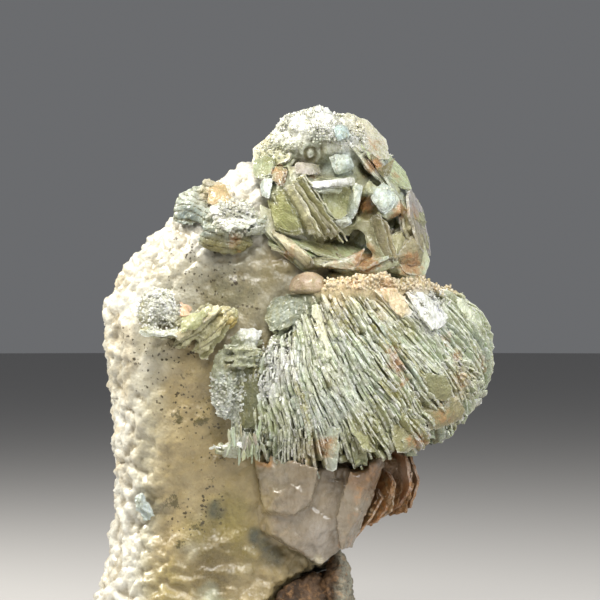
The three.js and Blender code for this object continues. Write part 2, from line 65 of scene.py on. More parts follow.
print("nodes:", ", ".join(sorted(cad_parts)))

# %% [markdown]
# ## Camera, light and floor
# The photograph looks straight at the front from about 25 cm away and level with the middle of the stone. A
# long lens at that distance gives the same mild perspective. The light could be one lamp, but the
# photograph has a strong lamp high on the left, a little behind the stone, that burns out its left edge,
# and soft light from the front. So there is one small bright lamp there and two large dim ones.

# %% Camera
CAMERA_PLACE = (1.2, -250.0, 37.0)
CAMERA_LENS = 150.0
SENSOR_WIDTH = 36.0
CLIP_START = 0.01


def add_camera():
    data = bpy.data.cameras.new("camera")
    data.lens = CAMERA_LENS
    data.sensor_width = SENSOR_WIDTH
    data.clip_start = CLIP_START
    camera = bpy.data.objects.new("camera", data)
    camera.location = Vector(CAMERA_PLACE) * MM
    camera.rotation_euler = (math.radians(90), 0, 0)
    bpy.context.scene.collection.objects.link(camera)
    bpy.context.scene.camera = camera


add_camera()
print("camera at", CAMERA_PLACE, "mm")

# %% Lamps
STONE_MIDDLE = Vector((0, 0, 30))
LAMPS = [
    ("key", (-160, 0, 180), 60, 0.72, (1.0, 0.97, 0.9)),
    ("front", (-10, -170, 230), 110, 0.62, (1.0, 0.97, 0.92)),
    ("side", (170, -120, 150), 120, 0.34, (0.93, 0.96, 1.0)),
]


def add_lamp(name, place, size, power, colour):
    data = bpy.data.lights.new(name, "AREA")
    data.size = size * MM
    data.energy = power
    data.color = colour
    lamp = bpy.data.objects.new(name, data)
    lamp.location = Vector(place) * MM
    aim = STONE_MIDDLE - Vector(place)
    lamp.rotation_euler = aim.to_track_quat("-Z", "Y").to_euler()
    bpy.context.scene.collection.objects.link(lamp)


for lamp in LAMPS:
    add_lamp(*lamp)
print(len(LAMPS), "lamps")

# %% Air and floor
AIR_COLOUR = (0.86, 0.88, 0.92)
AIR_STRENGTH = 0.17
FLOOR_COLOUR = (0.46, 0.45, 0.44)
FLOOR_RADIUS = 1500.0
FLOOR_ROUGHNESS = 0.9


def add_air():
    world = bpy.data.worlds.new("air")
    world.use_nodes = True
    background = world.node_tree.nodes["Background"]
    background.inputs["Color"].default_value = (*AIR_COLOUR, 1)
    background.inputs["Strength"].default_value = AIR_STRENGTH
    bpy.context.scene.world = world
    bpy.context.scene.view_settings.view_transform = "Standard"


def add_floor():
    bm = bmesh.new()
    bmesh.ops.create_circle(bm, cap_ends=True, segments=64, radius=FLOOR_RADIUS * MM)
    mesh = bpy.data.meshes.new("floor")
    bm.to_mesh(mesh)
    bm.free()
    floor = bpy.data.objects.new("floor", mesh)
    material = bpy.data.materials.new("floor paper")
    material.use_nodes = True
    shader = material.node_tree.nodes["Principled BSDF"]
    shader.inputs["Base Color"].default_value = (*FLOOR_COLOUR, 1)
    shader.inputs["Roughness"].default_value = FLOOR_ROUGHNESS
    mesh.materials.append(material)
    bpy.context.scene.collection.objects.link(floor)
    floor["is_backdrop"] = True


add_air()
add_floor()
print("floor", 2 * FLOOR_RADIUS, "mm across")

# %% [markdown]
# ## Colour and finish
# Calcite and quartz are pale because light goes a little way in and comes back out, so the shaders use
# subsurface scattering rather than plain paint. What changes over a stone, such as its tint, with some
# painted light and shade in it, the iron stain in the cracks, the frosted white and painted highlight on the
# edges and the painted shade in the hollows, could be painted by hand. Here each piece's mesh carries it in
# named attributes, written where the shape is made, and node groups that all the materials share read them.

# %% Node helpers
def plug(tree, socket, value):
    """Links a socket, or sets it to a number or a colour."""
    if isinstance(value, bpy.types.NodeSocket):
        tree.links.new(value, socket)
    elif isinstance(value, tuple) and len(socket.default_value) == 4 and len(value) == 3:
        socket.default_value = (*value, 1)
    else:
        socket.default_value = value


def add_node(tree, kind, values=None, **settings):
    """Adds a node, sets its properties, and fills its sockets with numbers or links."""
    made = tree.nodes.new(kind)
    for key, value in settings.items():
        setattr(made, key, value)
    for key, value in (values or {}).items():
        plug(tree, made.inputs[key], value)
    return made


def mixed(tree, share, first, second):
    """The colour between two colours, at a share from 0 to 1."""
    return add_node(tree, "ShaderNodeMix", {0: share, 6: first, 7: second}, data_type="RGBA").outputs[2]


def ranged(tree, value, low, high, to_low=0.0, to_high=1.0):
    """A value carried from one range into another, and kept inside it."""
    values = dict(enumerate((value, low, high, to_low, to_high)))
    return add_node(tree, "ShaderNodeMapRange", values, interpolation_type="SMOOTHSTEP").outputs[0]


def reckon(tree, operation, first, second):
    return add_node(tree, "ShaderNodeMath", {0: first, 1: second}, operation=operation).outputs[0]


def plus(tree, first, second):
    return reckon(tree, "ADD", first, second)


def minus(tree, first, second):
    return reckon(tree, "SUBTRACT", first, second)


def times(tree, first, second):
    return reckon(tree, "MULTIPLY", first, second)


def place_of(tree):
    return tree.nodes.new("ShaderNodeTexCoord").outputs["Object"]


def mask_of(tree, name):
    return add_node(tree, "ShaderNodeAttribute", attribute_name=name).outputs["Fac"]


def tint_of(tree):
    return add_node(tree, "ShaderNodeAttribute", attribute_name="tint").outputs["Color"]


def cloud(tree, place, per_mm, detail=3.0, rough=0.55):
    """Soft noise with so many lumps to a millimetre."""
    values = {"Vector": place, "Scale": per_mm / MM, "Detail": detail, "Roughness": rough}
    return add_node(tree, "ShaderNodeTexNoise", values).outputs["Fac"]


def new_group(name, inputs, outputs):
    tree = bpy.data.node_groups.new(name, "ShaderNodeTree")
    for title, kind, default in inputs:
        tree.interface.new_socket(title, in_out="INPUT", socket_type=kind).default_value = default
    for title, kind in outputs:
        tree.interface.new_socket(title, in_out="OUTPUT", socket_type=kind)
    return tree, tree.nodes.new("NodeGroupInput").outputs, tree.nodes.new("NodeGroupOutput").inputs


def use_group(tree, group, values):
    made = add_node(tree, "ShaderNodeGroup", node_tree=group)
    for key, value in values.items():
        plug(tree, made.inputs[key], value)
    return made


print("node helpers ready")

# %% [markdown]
# ### Four effects that several minerals share
# Iron stain is orange where it is thin and dark brown where it is thick, and it breaks up into patches.
# Frost is the white of crushed crystal along a broken edge, and on the same rims it also lays a painted
# highlight. Mottling is the uneven strength of a mineral's own colour. Grain is the fine relief of crystal
# faces that are too small to model. Each could be copied into every material, but as a group it is made once
# and mended in one place.

# %% Iron stain
RUST_THIN = (0.47, 0.25, 0.1)
RUST_THICK = (0.15, 0.05, 0.016)


def make_iron_stain():
    inputs = [("Color", "NodeSocketColor", (0.8, 0.8, 0.8, 1)), ("Amount", "NodeSocketFloat", 1.0)]
    tree, given, made = new_group("iron stain", inputs, [("Color", "NodeSocketColor")])
    patches = cloud(tree, place_of(tree), 1.6, 6.0, 0.7)
    amount = times(tree, mask_of(tree, "stain"), given["Amount"])
    reach = plus(tree, amount, times(tree, minus(tree, patches, 0.5), 1.6))
    cover = times(tree, ranged(tree, reach, 0.15, 0.8), ranged(tree, amount, 0.02, 0.25))
    thick = ranged(tree, reach, 0.65, 1.15)
    rust = mixed(tree, thick, RUST_THIN, RUST_THICK)
    stained = mixed(tree, times(tree, cover, 0.88), given["Color"], rust)
    tree.links.new(stained, made["Color"])
    return tree


iron_stain = make_iron_stain()
print("group:", iron_stain.name)

# %% Frosted edges and painted rim highlight
FROST_AND_HIGHLIGHT = (0.9, 0.91, 0.84)


# The white laid along the rim mask is partly crushed-crystal white and partly a painted highlight on the
# edges.
def make_frost_and_highlight():
    inputs = [("Color", "NodeSocketColor", (0.8, 0.8, 0.8, 1)), ("Amount", "NodeSocketFloat", 0.7)]
    tree, given, made = new_group("frost_and_highlight", inputs, [("Color", "NodeSocketColor")])
    ragged = ranged(tree, cloud(tree, place_of(tree), 2.6, 5.0, 0.75), 0.42, 0.66)
    rim = ranged(tree, mask_of(tree, "rim"), 0.35, 0.95)
    mask = times(tree, times(tree, rim, ragged), given["Amount"])
    tree.links.new(mixed(tree, mask, given["Color"], FROST_AND_HIGHLIGHT), made["Color"])
    return tree


frost_and_highlight = make_frost_and_highlight()
print("group:", frost_and_highlight.name)

# %% Mottling
def make_mottle():
    inputs = [("Color", "NodeSocketColor", (0.8, 0.8, 0.8, 1)), ("Amount", "NodeSocketFloat", 0.5),
              ("Shade", "NodeSocketColor", (0.2, 0.2, 0.1, 1)), ("Stretch", "NodeSocketVector", (1, 1, 1))]
    tree, given, made = new_group("mottle", inputs, [("Color", "NodeSocketColor")])
    place = place_of(tree)
    values = {0: place, 1: given["Stretch"]}
    drawn = add_node(tree, "ShaderNodeVectorMath", values, operation="MULTIPLY").outputs[0]
    fine = ranged(tree, cloud(tree, drawn, 2.6, 5.0, 0.7), 0.42, 0.72)
    broad = ranged(tree, cloud(tree, place, 0.45, 3.0), 0.35, 0.7)
    share = times(tree, plus(tree, fine, times(tree, broad, 0.5)), given["Amount"])
    tree.links.new(mixed(tree, share, given["Color"], given["Shade"]), made["Color"])
    return tree


mottle = make_mottle()
print("group:", mottle.name)

# %% Crystal grain
GRAIN_PER_MM = 3.2


def make_grain():
    inputs = [("Size", "NodeSocketFloat", 1.0)]
    tree, given, made = new_group("crystal grain", inputs, [("Height", "NodeSocketFloat")])
    values = {0: place_of(tree), "Scale": given["Size"]}
    sized = add_node(tree, "ShaderNodeVectorMath", values, operation="SCALE").outputs[0]
    facets = add_node(tree, "ShaderNodeTexVoronoi", {"Vector": sized, "Scale": GRAIN_PER_MM / MM})
    fine = cloud(tree, sized, 2.4 * GRAIN_PER_MM, 4.0, 0.6)
    height = plus(tree, facets.outputs["Distance"], fine)
    tree.links.new(times(tree, height, 0.5), made["Height"])
    return tree


grain = make_grain()
print("group:", grain.name)

# %% Finishing a mineral's shader
COAT_ROUGHNESS = 0.12


def mineral(name, colour_of, rough, depth, glow=(1.0, 0.9, 0.75), scatter=0.35, grain_size=1.0,
            grain_depth=0.05, coat=0.0):
    """A material whose colour comes from colour_of(tree). depth is how far light wanders in it, in mm."""
    material = bpy.data.materials.new(name)
    material.use_nodes = True
    tree = material.node_tree
    shader = tree.nodes["Principled BSDF"]
    tree.links.new(colour_of(tree), shader.inputs["Base Color"])
    shader.inputs["Subsurface Weight"].default_value = scatter
    shader.inputs["Subsurface Radius"].default_value = glow
    shader.inputs["Subsurface Scale"].default_value = depth * MM
    shader.inputs["Coat Weight"].default_value = coat
    shader.inputs["Coat Roughness"].default_value = COAT_ROUGHNESS
    uneven = cloud(tree, place_of(tree), 1.3, 4.0)
    tree.links.new(ranged(tree, uneven, 0.3, 0.7, rough[0], rough[1]), shader.inputs["Roughness"])
    height = use_group(tree, grain, {"Size": grain_size}).outputs["Height"]
    relief = {"Height": height, "Distance": grain_depth * MM, "Strength": 1.0}
    bump = add_node(tree, "ShaderNodeBump", relief)
    tree.links.new(bump.outputs["Normal"], shader.inputs["Normal"])
    return material


print("mineral() ready")

# %% [markdown]
# ### Quartz
# The finger is milky where it is thick and bright, tan low on the front, with brown-black specks in
# clusters. Its white top and sides and its tan front are partly its own colour and partly painted light and
# shade. The tint attribute gives the broad colours, and the specks are a pattern that a mask lets through.

# %% Quartz material
SPECK = (0.05, 0.036, 0.015)
DENDRITE = (0.085, 0.072, 0.025)
SPECKS_PER_MM = 2.3


def quartz_colour(tree):
    place = place_of(tree)
    grown = mask_of(tree, "dendrites")
    colour = use_group(tree, mottle, {"Color": tint_of(tree), "Amount": 0.3, "Shade": (0.3, 0.24, 0.11)})
    # Painted shade: the creases between the quartz bumps are darkened to a brown tan, so that the bumps
    # show.
    crease_shade = ranged(tree, mask_of(tree, "deep"), 0.15, 0.9, 0.0, 0.6)
    colour = mixed(tree, crease_shade, colour.outputs["Color"], (0.3, 0.235, 0.12))
    wobble = times(tree, minus(tree, cloud(tree, place, 3.0, 3.0), 0.5), 0.9)
    dots = add_node(tree, "ShaderNodeTexVoronoi", {"Vector": place, "Scale": SPECKS_PER_MM / MM})
    size = ranged(tree, cloud(tree, place, 0.9, 4.0, 0.7), 0.38, 0.66, 0.05, 0.46)
    near = minus(tree, size, plus(tree, dots.outputs["Distance"], wobble))
    allowed = plus(tree, mask_of(tree, "specks"), minus(tree, cloud(tree, place, 0.7, 3.0), 0.5))
    specks = times(tree, ranged(tree, near, 0.0, 0.1), ranged(tree, allowed, 0.2, 0.5))
    colour = mixed(tree, times(tree, specks, 0.9), colour, SPECK)
    branches = plus(tree, cloud(tree, place, 2.4, 6.0, 0.8), times(tree, grown, 0.3))
    colour = mixed(tree, times(tree, ranged(tree, branches, 0.64, 0.72), 0.85), colour, DENDRITE)
    return use_group(tree, iron_stain, {"Color": colour, "Amount": 0.8}).outputs["Color"]


quartz_finish = mineral("drusy quartz", quartz_colour, (0.16, 0.42), 0.7, scatter=0.25, grain_size=0.9,
                        grain_depth=0.1, coat=0.35)
print("material:", quartz_finish.name)

# %% [markdown]
# ### Calcite
# Blades and masses are the same mineral. The blades are grey-green to sage, with cream-white broken edges
# that also carry a painted highlight, and painted olive shadow between them. The massive calcite is
# glassier, and the plates beside it are rusty. One colour function with different shades serves all of them.

# %% Calcite materials
OLIVE_SHADE = (0.23, 0.21, 0.075)
SPAR_SHADE = (0.16, 0.115, 0.06)
RUSTY_SHADE = (0.22, 0.13, 0.05)
ROCK_SHADE = (0.045, 0.022, 0.01)
# The two deep colours are painted shade in hollows. On the rock the deep brown marks random dark patches
# instead.
OLIVE_HOLLOW_SHADE = (0.13, 0.115, 0.045)
DEEP_BROWN = (0.085, 0.042, 0.016)


def calcite_colour(shade, hollow, mottling, frost_and_highlight_amount, rust, stretch=(1.0, 1.0, 0.3)):
    """Makes a colour function: the tint, mottled with a shade, with painted shade in the hollows, rusty, and
    frosted with a painted rim highlight.
    """
    def colour_of(tree):
        values = {"Color": tint_of(tree), "Amount": mottling, "Shade": shade, "Stretch": stretch}
        colour = use_group(tree, mottle, values).outputs["Color"]
        # Painted shade: the deep mask darkens the colour towards the hollow colour.
        depth = ranged(tree, mask_of(tree, "deep"), 0.1, 0.95, 0.0, 0.9)
        colour = mixed(tree, depth, colour, hollow)
        colour = use_group(tree, iron_stain, {"Color": colour, "Amount": rust}).outputs["Color"]
        return use_group(tree, frost_and_highlight, {"Color": colour, "Amount": frost_and_highlight_amount}).outputs["Color"]
    return colour_of


blade_colour = calcite_colour(OLIVE_SHADE, OLIVE_HOLLOW_SHADE, 0.55, 0.65, 1.0)
blade_finish = mineral("calcite blades", blade_colour, (0.16, 0.45), 0.5, (0.9, 1.0, 0.6), scatter=0.22,
                       grain_size=1.5, grain_depth=0.1, coat=0.4)
spar_colour = calcite_colour(SPAR_SHADE, DEEP_BROWN, 0.4, 0.5, 1.0, (1, 1, 0.5))
spar_finish = mineral("massive calcite", spar_colour, (0.1, 0.32), 1.0, (1.0, 0.8, 0.62), grain_size=0.8,
                      coat=0.6)
rusty_colour = calcite_colour(RUSTY_SHADE, DEEP_BROWN, 0.45, 0.3, 1.0)
rusty_finish = mineral("rusty calcite", rusty_colour, (0.3, 0.6), 0.5, scatter=0.2, grain_depth=0.06,
                       coat=0.15)
rock_colour = calcite_colour(ROCK_SHADE, DEEP_BROWN, 0.6, 0.0, 0.8, (1, 1, 1))
rock_finish = mineral("brown rock", rock_colour, (0.6, 0.9), 0.2, scatter=0.05, grain_size=0.7,
                      grain_depth=0.15)
print("materials:", blade_finish.name, spar_finish.name, rusty_finish.name, rock_finish.name, sep=", ")

# %% [markdown]
# ## Building blocks
# Four kinds of shape make the whole specimen. A skin is a fine copy of a frame solid, which keeps its size
# and place. A blade or plate is a thin crystal sheet with broken sides, and a patch is a sheet hung between
# four corners. A grain is one small crystal, and hundreds of them make a sugary crust. Each could be
# sculpted, but rules with fixed random seeds give the same stone each run.

# %% Masks and finishing
# deep carries painted shade in hollows, creases and under things, except on the rock, where it marks random
# dark patches. rim carries the frosted white of broken edges, which is partly a painted highlight.
MASKS = ("rim", "stain", "deep", "specks", "dendrites")


def new_mesh():
    bm = bmesh.new()
    for name in MASKS:
        bm.verts.layers.float.new(name)
    bm.verts.layers.float_color.new("tint")
    return bm


def masks_of(bm):
    return {name: bm.verts.layers.float[name] for name in MASKS}


def tint_layer(bm):
    return bm.verts.layers.float_color["tint"]


def add_to(bm, other):
    """Adds one bmesh to another and frees it."""
    carrier = bpy.data.meshes.new("carrier")
    other.to_mesh(carrier)
    other.free()
    bm.from_mesh(carrier)
    bpy.data.meshes.remove(carrier)


triangles = {}


def finish_piece(name, bm, material, replaced=None, smooth=False):
    """Turns a shape in millimetres into a finished object on the frame."""
    bmesh.ops.scale(bm, vec=(MM, MM, MM), verts=bm.verts)
    mesh = bpy.data.meshes.new(name)
    bm.to_mesh(mesh)
    bm.free()
    mesh.materials.append(material)
    if smooth:
        mesh.shade_smooth()
    piece = bpy.data.objects.new(name, mesh)
    bpy.context.scene.collection.objects.link(piece)
    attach(piece, "root")
    if replaced:
        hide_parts(replaced)
    mesh.calc_loop_triangles()
    triangles[name] = len(mesh.loop_triangles)
    print(f"{name}: {triangles[name]} triangles")


print("pieces carry the masks", ", ".join(MASKS), "and a tint")

# %% Noise and spots
def shifted(p, seed):
    return p + Vector((seed * 13.7, seed * 5.1, seed * 9.3))


def wave(p, per_mm, seed=0):
    """Smooth noise from about -1 to 1, with so many waves to a millimetre."""
    return noise.noise(shifted(p * per_mm, seed))


def rough_wave(p, per_mm, seed=0, octaves=4):
    return noise.fractal(shifted(p * per_mm, seed), 0.9, 2.1, octaves)


def domes(p, cell):
    """1 on top of a rounded bump, 0 in the creases between the bumps."""
    return math.sqrt(max(0.0, 1 - noise.voronoi(p / cell)[0][0] / 0.65))


def facets(p, cell, seed=0):
    """Flat broken faces: each cell of the stone is cut along a plane of its own."""
    q = shifted(p / cell, seed)
    middle = noise.voronoi(q)[1][0]
    return (q - middle).dot(Vector([wave(middle, 3.7, k) for k in (31, 32, 33)]))


def soft(value, low, high):
    """Climbs smoothly from 0 to 1 as the value goes from low to high."""
    share = min(1.0, max(0.0, (value - low) / (high - low)))
    return share * share * (3 - 2 * share)


SPOT_DEPTH = 0.4


def spot(p, middle, radius):
    """1 at the middle of a round spot, 0 from its radius on. It reaches deeper than it is wide."""
    way = p - Vector(middle)
    share = math.sqrt(way.x * way.x + (SPOT_DEPTH * way.y) ** 2 + way.z * way.z) / radius
    return 0.0 if share >= 1 else (1 - share * share) ** 2


def spots_sum(p, spots):
    """The sum of many spots, each a middle, a radius and a strength. Their edges wander."""
    wandering = p + Vector((wave(p, 0.9, 3), wave(p, 0.9, 4), wave(p, 0.9, 5))) * 0.7
    return min(1.0, sum(strength * spot(wandering, middle, radius) for middle, radius, strength in spots))


def blend(first, second, share):
    return tuple(a + (b - a) * share for a, b in zip(first, second))


def paint(bm, colour_at):
    """Writes the tint of each vertex."""
    layer = tint_layer(bm)
    for v in bm.verts:
        v[layer] = (*colour_at(v.co), 1)


def dabbed(p, colour, dabs):
    """A colour with dabs of other colours on it, each a middle, a radius, a colour and a strength."""
    wandering = p + Vector((wave(p, 0.8, 6), wave(p, 0.8, 7), wave(p, 0.8, 8))) * 0.8
    for middle, radius, other, strength in dabs:
        colour = blend(colour, other, strength * spot(wandering, middle, radius) ** 0.7)
    return colour


def dress(bm, dabs, rust, light_at=None):
    """Lays dabs of colour over the tint, which light_at() may darken first, and writes the rust spots."""
    stain = masks_of(bm)["stain"]
    layer = tint_layer(bm)
    for v in bm.verts:
        light = light_at(v.co) if light_at else 1
        v[layer] = (*dabbed(v.co, tuple(c * light for c in tuple(v[layer])[:3]), dabs), 1)
        v[stain] = spots_sum(v.co, rust)
    return bm


print("noise and spots ready")

# %% Skins
def skin_of(node, voxel, smoothings=2, inset=0.0):
    """A fine, even copy of a frame solid as a bmesh in millimetres, drawn in by the inset."""
    bm = bmesh.new()
    bm.from_mesh(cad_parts[node].data)
    bmesh.ops.remove_doubles(bm, verts=bm.verts, dist=1e-6)
    source = bpy.data.meshes.new("source")
    bm.to_mesh(source)
    bm.free()
    holder = bpy.data.objects.new("holder", source)
    bpy.context.scene.collection.objects.link(holder)
    remesh = holder.modifiers.new("remesh", "REMESH")
    remesh.mode = "VOXEL"
    remesh.voxel_size = voxel * MM
    evaluated = holder.evaluated_get(bpy.context.evaluated_depsgraph_get())
    fine = bpy.data.meshes.new_from_object(evaluated)
    bpy.data.objects.remove(holder)
    skin = new_mesh()
    skin.from_mesh(fine)
    bmesh.ops.scale(skin, vec=(1 / MM,) * 3, verts=skin.verts)
    for _ in range(smoothings):
        bmesh.ops.smooth_vert(skin, verts=skin.verts, factor=0.5, use_axis_x=True, use_axis_y=True,
                              use_axis_z=True)
    skin.normal_update()
    if inset:
        for v in skin.verts:
            v.co -= v.normal * inset
    return skin


print("skin_of() ready")

# %% Finding the depth
def tree_of(node):
    bm = bmesh.new()
    bm.from_mesh(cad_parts[node].data)
    bmesh.ops.scale(bm, vec=(1 / MM,) * 3, verts=bm.verts)
    tree = BVHTree.FromBMesh(bm)
    bm.free()
    return tree


SOLIDS = {node: tree_of(node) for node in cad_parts}


def on_front(node, x, z, lift=0.0):
    """The point of a frame solid behind (x, z) as seen from the front, lifted towards the front, in mm."""
    place = SOLIDS[node].ray_cast(Vector((x, -60, z)), Vector((0, 1, 0)))[0]
    if place is None:
        place = SOLIDS[node].find_nearest(Vector((x, -6, z)))[0]
    return Vector((x, place.y - lift, z))


def corners_on(node, corners):
    return [on_front(node, *corner) for corner in corners]


print("front of the rosette at (5, 46):", round(on_front("calcite_rosette", 5, 46).y, 1), "mm")

# %% Plates
def polygon_reach(angle, corners):
    """How far a polygon's side lies from its middle. The corners are pairs of angle and distance."""
    for k, (a0, r0) in enumerate(corners):
        a1, r1 = corners[(k + 1) % len(corners)]
        span = (a1 - a0) % (2 * math.pi)
        ahead = (angle - a0) % (2 * math.pi)
        if ahead <= span:
            return r0 * r1 * math.sin(span) / (r0 * math.sin(ahead) + r1 * math.sin(span - ahead))
    return 1.0


def attitude(roll, tilt):
    """The turn of a plate that faces the front with its length along X, as in the frame's own solids."""
    return Matrix.Rotation(-math.radians(roll), 4, "Y") @ Matrix.Rotation(-math.radians(tilt), 4, "X")


def thin_sheet(cells, thickness, tint, shape_at):
    """A crystal sheet. shape_at(x, y) gives a grid point's place, rim and depth. x and y go from -1 to 1."""
    sheet = new_mesh()
    masks = masks_of(sheet)
    layer = tint_layer(sheet)
    bmesh.ops.create_grid(sheet, x_segments=cells[0], y_segments=cells[1], size=1.0)
    for v in sheet.verts:
        v.co, v[masks["rim"]], v[masks["deep"]] = shape_at(v.co.x, v.co.y)
        v[layer] = (*tint, 1)
    sheet.normal_update()
    bmesh.ops.solidify(sheet, geom=sheet.faces[:], thickness=thickness)
    bmesh.ops.recalc_face_normals(sheet, faces=sheet.faces)
    return sheet


PLATE_RAGGED = 0.06
PLATE_RIPPLE = 0.05
PLATE_RIM = 0.8


def add_plate(bm, at, size, roll, tilt, seed, tint, deep=0.0, cells=(16, 12), corners=7, rim=1.0):
    """A thin crystal sheet with straight broken sides, its length, width and thickness in the size."""
    dice = random.Random(seed * 7919)
    length, width, thickness = size
    outline = [((k + 0.45 * dice.random()) / corners * 2 * math.pi, 0.84 + 0.24 * dice.random())
               for k in range(corners)]
    own = [c * dice.uniform(0.85, 1.12) for c in tint]

    def shape_at(x, y):
        out = max(abs(x), abs(y))
        angle = math.atan2(y, x)
        way = Vector((math.cos(angle), math.sin(angle), seed * 0.37))
        across = out * polygon_reach(angle, outline) * (1 + PLATE_RAGGED * rough_wave(way, 4.0, seed))
        flat = Vector((way.x * across * length / 2, way.y * across * width / 2, 0))
        place = Vector((flat.x, PLATE_RIPPLE * rough_wave(flat, 0.9, seed), flat.y))
        # deep is painted shade, darker towards the plate's middle where the sheets of a book cover one
        # another.
        return place, rim * soft(out, PLATE_RIM, 1.0), deep * (1 - out)

    plate = thin_sheet(cells, thickness, own, shape_at)
    bmesh.ops.transform(plate, matrix=Matrix.Translation(at) @ attitude(roll, tilt), verts=plate.verts)
    add_to(bm, plate)


def add_book(bm, at, size, roll, tilt, seed, tint, sheets=3, **finish):
    """Parallel plates laid on one another, each with an outline of its own, so that the edges step."""
    dice = random.Random(seed * 104729)
    normal = attitude(roll, tilt) @ Vector((0, 1, 0))
    each = size[2] / sheets
    for k in range(sheets):
        middle = Vector(at) + normal * ((k + 0.5) * each - size[2] / 2)
        slide = Vector((dice.uniform(-1, 1), 0, dice.uniform(-1, 1))) * 0.05 * size[0]
        sheet = (size[0] * dice.uniform(0.82, 1.0), size[1] * dice.uniform(0.82, 1.0),
                 each * dice.uniform(0.6, 0.9))
        own = [c * (1 + 0.18 * (dice.random() - 0.5)) for c in tint]
        add_plate(bm, middle + slide, sheet, roll + dice.uniform(-4, 4), tilt + dice.uniform(-4, 4),
                  seed * 31 + k, own, **finish)


print("add_plate() and add_book() ready")

# %% Patches
def add_patch(bm, corners, thickness, seed, tint, bow=0.0, ragged=0.12, cells=(20, 14), round_by=0.0,
              rim=1.0, rim_from=0.84, ripple=0.06):
    """A sheet hung between four corners, taken round its edge. bow pushes its middle forward, in mm."""
    a, b, c, d = (Vector(corner) for corner in corners)
    facing = (c - a).cross(b - d).normalized()
    facing = facing if facing.y < 0 else -facing

    def shape_at(x, y):
        out = max(abs(x), abs(y))
        if out > 0 and round_by:
            shrink = (1 - round_by) + round_by * out / math.hypot(x, y)
            x, y = x * shrink, y * shrink
        s, t = (x + 1) / 2, (y + 1) / 2
        p = (d * (1 - s) + c * s) * (1 - t) + (a * (1 - s) + b * s) * t
        wander = Vector([rough_wave(p, 1.1, seed + k) for k in range(3)])
        push = bow * (1 - out * out) + ripple * rough_wave(p, 1.6, seed)
        place = p + facing * push + wander * ragged * out
        return place, rim * soft(out, rim_from, 1.0), 0

    add_to(bm, thin_sheet(cells, thickness, tint, shape_at))


print("add_patch() ready")

# %% Grains
GRAIN_SLANT = 0.35


def add_grains(bm, places, sizes, seed, tints, stretch=1.6, rim=0.6):
    """Small leaning crystals. places are pairs of a point and the way out of the surface there."""
    dice = random.Random(seed)
    masks = masks_of(bm)
    layer = tint_layer(bm)
    for place, out in places:
        size = dice.uniform(*sizes)
        lean = Vector((dice.gauss(0, 1), dice.gauss(0, 1), dice.gauss(0, 1))).normalized()
        turn = (out + 0.8 * lean).to_track_quat("Z", "Y").to_matrix().to_4x4()
        spin = Matrix.Rotation(dice.uniform(0, math.pi), 4, "Z")
        shear = Matrix.Identity(4)
        shear[0][2] = GRAIN_SLANT
        shape = Matrix.Diagonal((size, size * dice.uniform(0.6, 1.0), size * dice.uniform(1.0, stretch), 1))
        matrix = Matrix.Translation(place) @ turn @ spin @ shear @ shape
        made = bmesh.ops.create_cube(bm, size=1.0, matrix=matrix)
        tint = blend(*tints, dice.random())
        for v in made["verts"]:
            v[masks["rim"]] = rim
            v[layer] = (*tint, 1)


SCATTER_TRIES = 60


def scatter(skin, count, seed, where):
    """Places on a skin, picked at random with the chance that where() gives each of them."""
    dice = random.Random(seed)
    skin.verts.ensure_lookup_table()
    found = []
    for _ in range(count * SCATTER_TRIES):
        v = skin.verts[dice.randrange(len(skin.verts))]
        if dice.random() < where(v.co):
            found.append((v.co.copy(), v.normal.copy()))
        if len(found) == count:
            break
    return found


def add_crust(bm, skin, count, seed, where, sizes, tints, stretch=1.6):
    """Strews grains over a skin that is only there to carry them."""
    add_grains(bm, scatter(skin, count, seed, where), sizes, seed + 1, tints, stretch)
    skin.free()


print("add_grains(), scatter() and add_crust() ready")

# %% [markdown]
# ## The quartz finger
# Real drusy quartz is a skin of rounded crystal bumps from half a millimetre to two across, smallest near
# the edges and nearly smooth on the tan front. It could be a bump map alone, but the outline against the
# light is beaded, so the bumps are real: three sizes of domes push the fine skin out, and the creases
# between them are kept as a mask that darkens them with painted shade.

# %% Quartz colours and places
MILK = (0.68, 0.67, 0.6)
OFF_WHITE = (0.5, 0.47, 0.35)
TAN = (0.36, 0.285, 0.145)
# The olive tan dabs are painted shadow on the quartz beside the fan and the small book and under the
# rosette.
OLIVE_TAN_SHADOW = (0.2, 0.165, 0.07)
MOSS = (0.26, 0.215, 0.06)
INK = (0.04, 0.055, 0.045)
QUARTZ_VOXEL = 0.24
QUARTZ_BUMPS = [(1.7, 0.5), (0.95, 0.42), (0.5, 0.14)]
SPECK_SPOTS = [
    ((-9, -9, 40.5), 6, 0.7), ((-10.4, -9, 32), 3.6, 0.8), ((-9.6, -9, 26), 4.4, 0.8),
    ((-10, -9, 15.5), 3.6, 0.8), ((-7.2, -8, 17), 3.6, 0.8), ((-15, -7, 33), 4, 0.6),
    ((-7.5, -9, 22.5), 4, 0.7), ((-5, -9, 37), 4.5, 0.6), ((-13, -8, 29), 3.5, 0.7),
]
DENDRITES = [
    ((-11.3, -9, 17.4), 1.7, 1), ((-8.7, -9, 15.6), 1.3, 1), ((-10.6, -9, 25.6), 1.2, 1),
    ((-8.2, -9, 25.4), 1, 1), ((-11.9, -9, 21), 1, 0.9), ((-10.4, -9, 13.6), 1.1, 0.9),
    ((-7.4, -9, 19.4), 1, 0.8), ((-6.4, -9, 16.8), 1, 0.9), ((-12.6, -9, 35.6), 1.1, 0.8),
    ((-10.9, -9, 33), 1, 0.9),
]
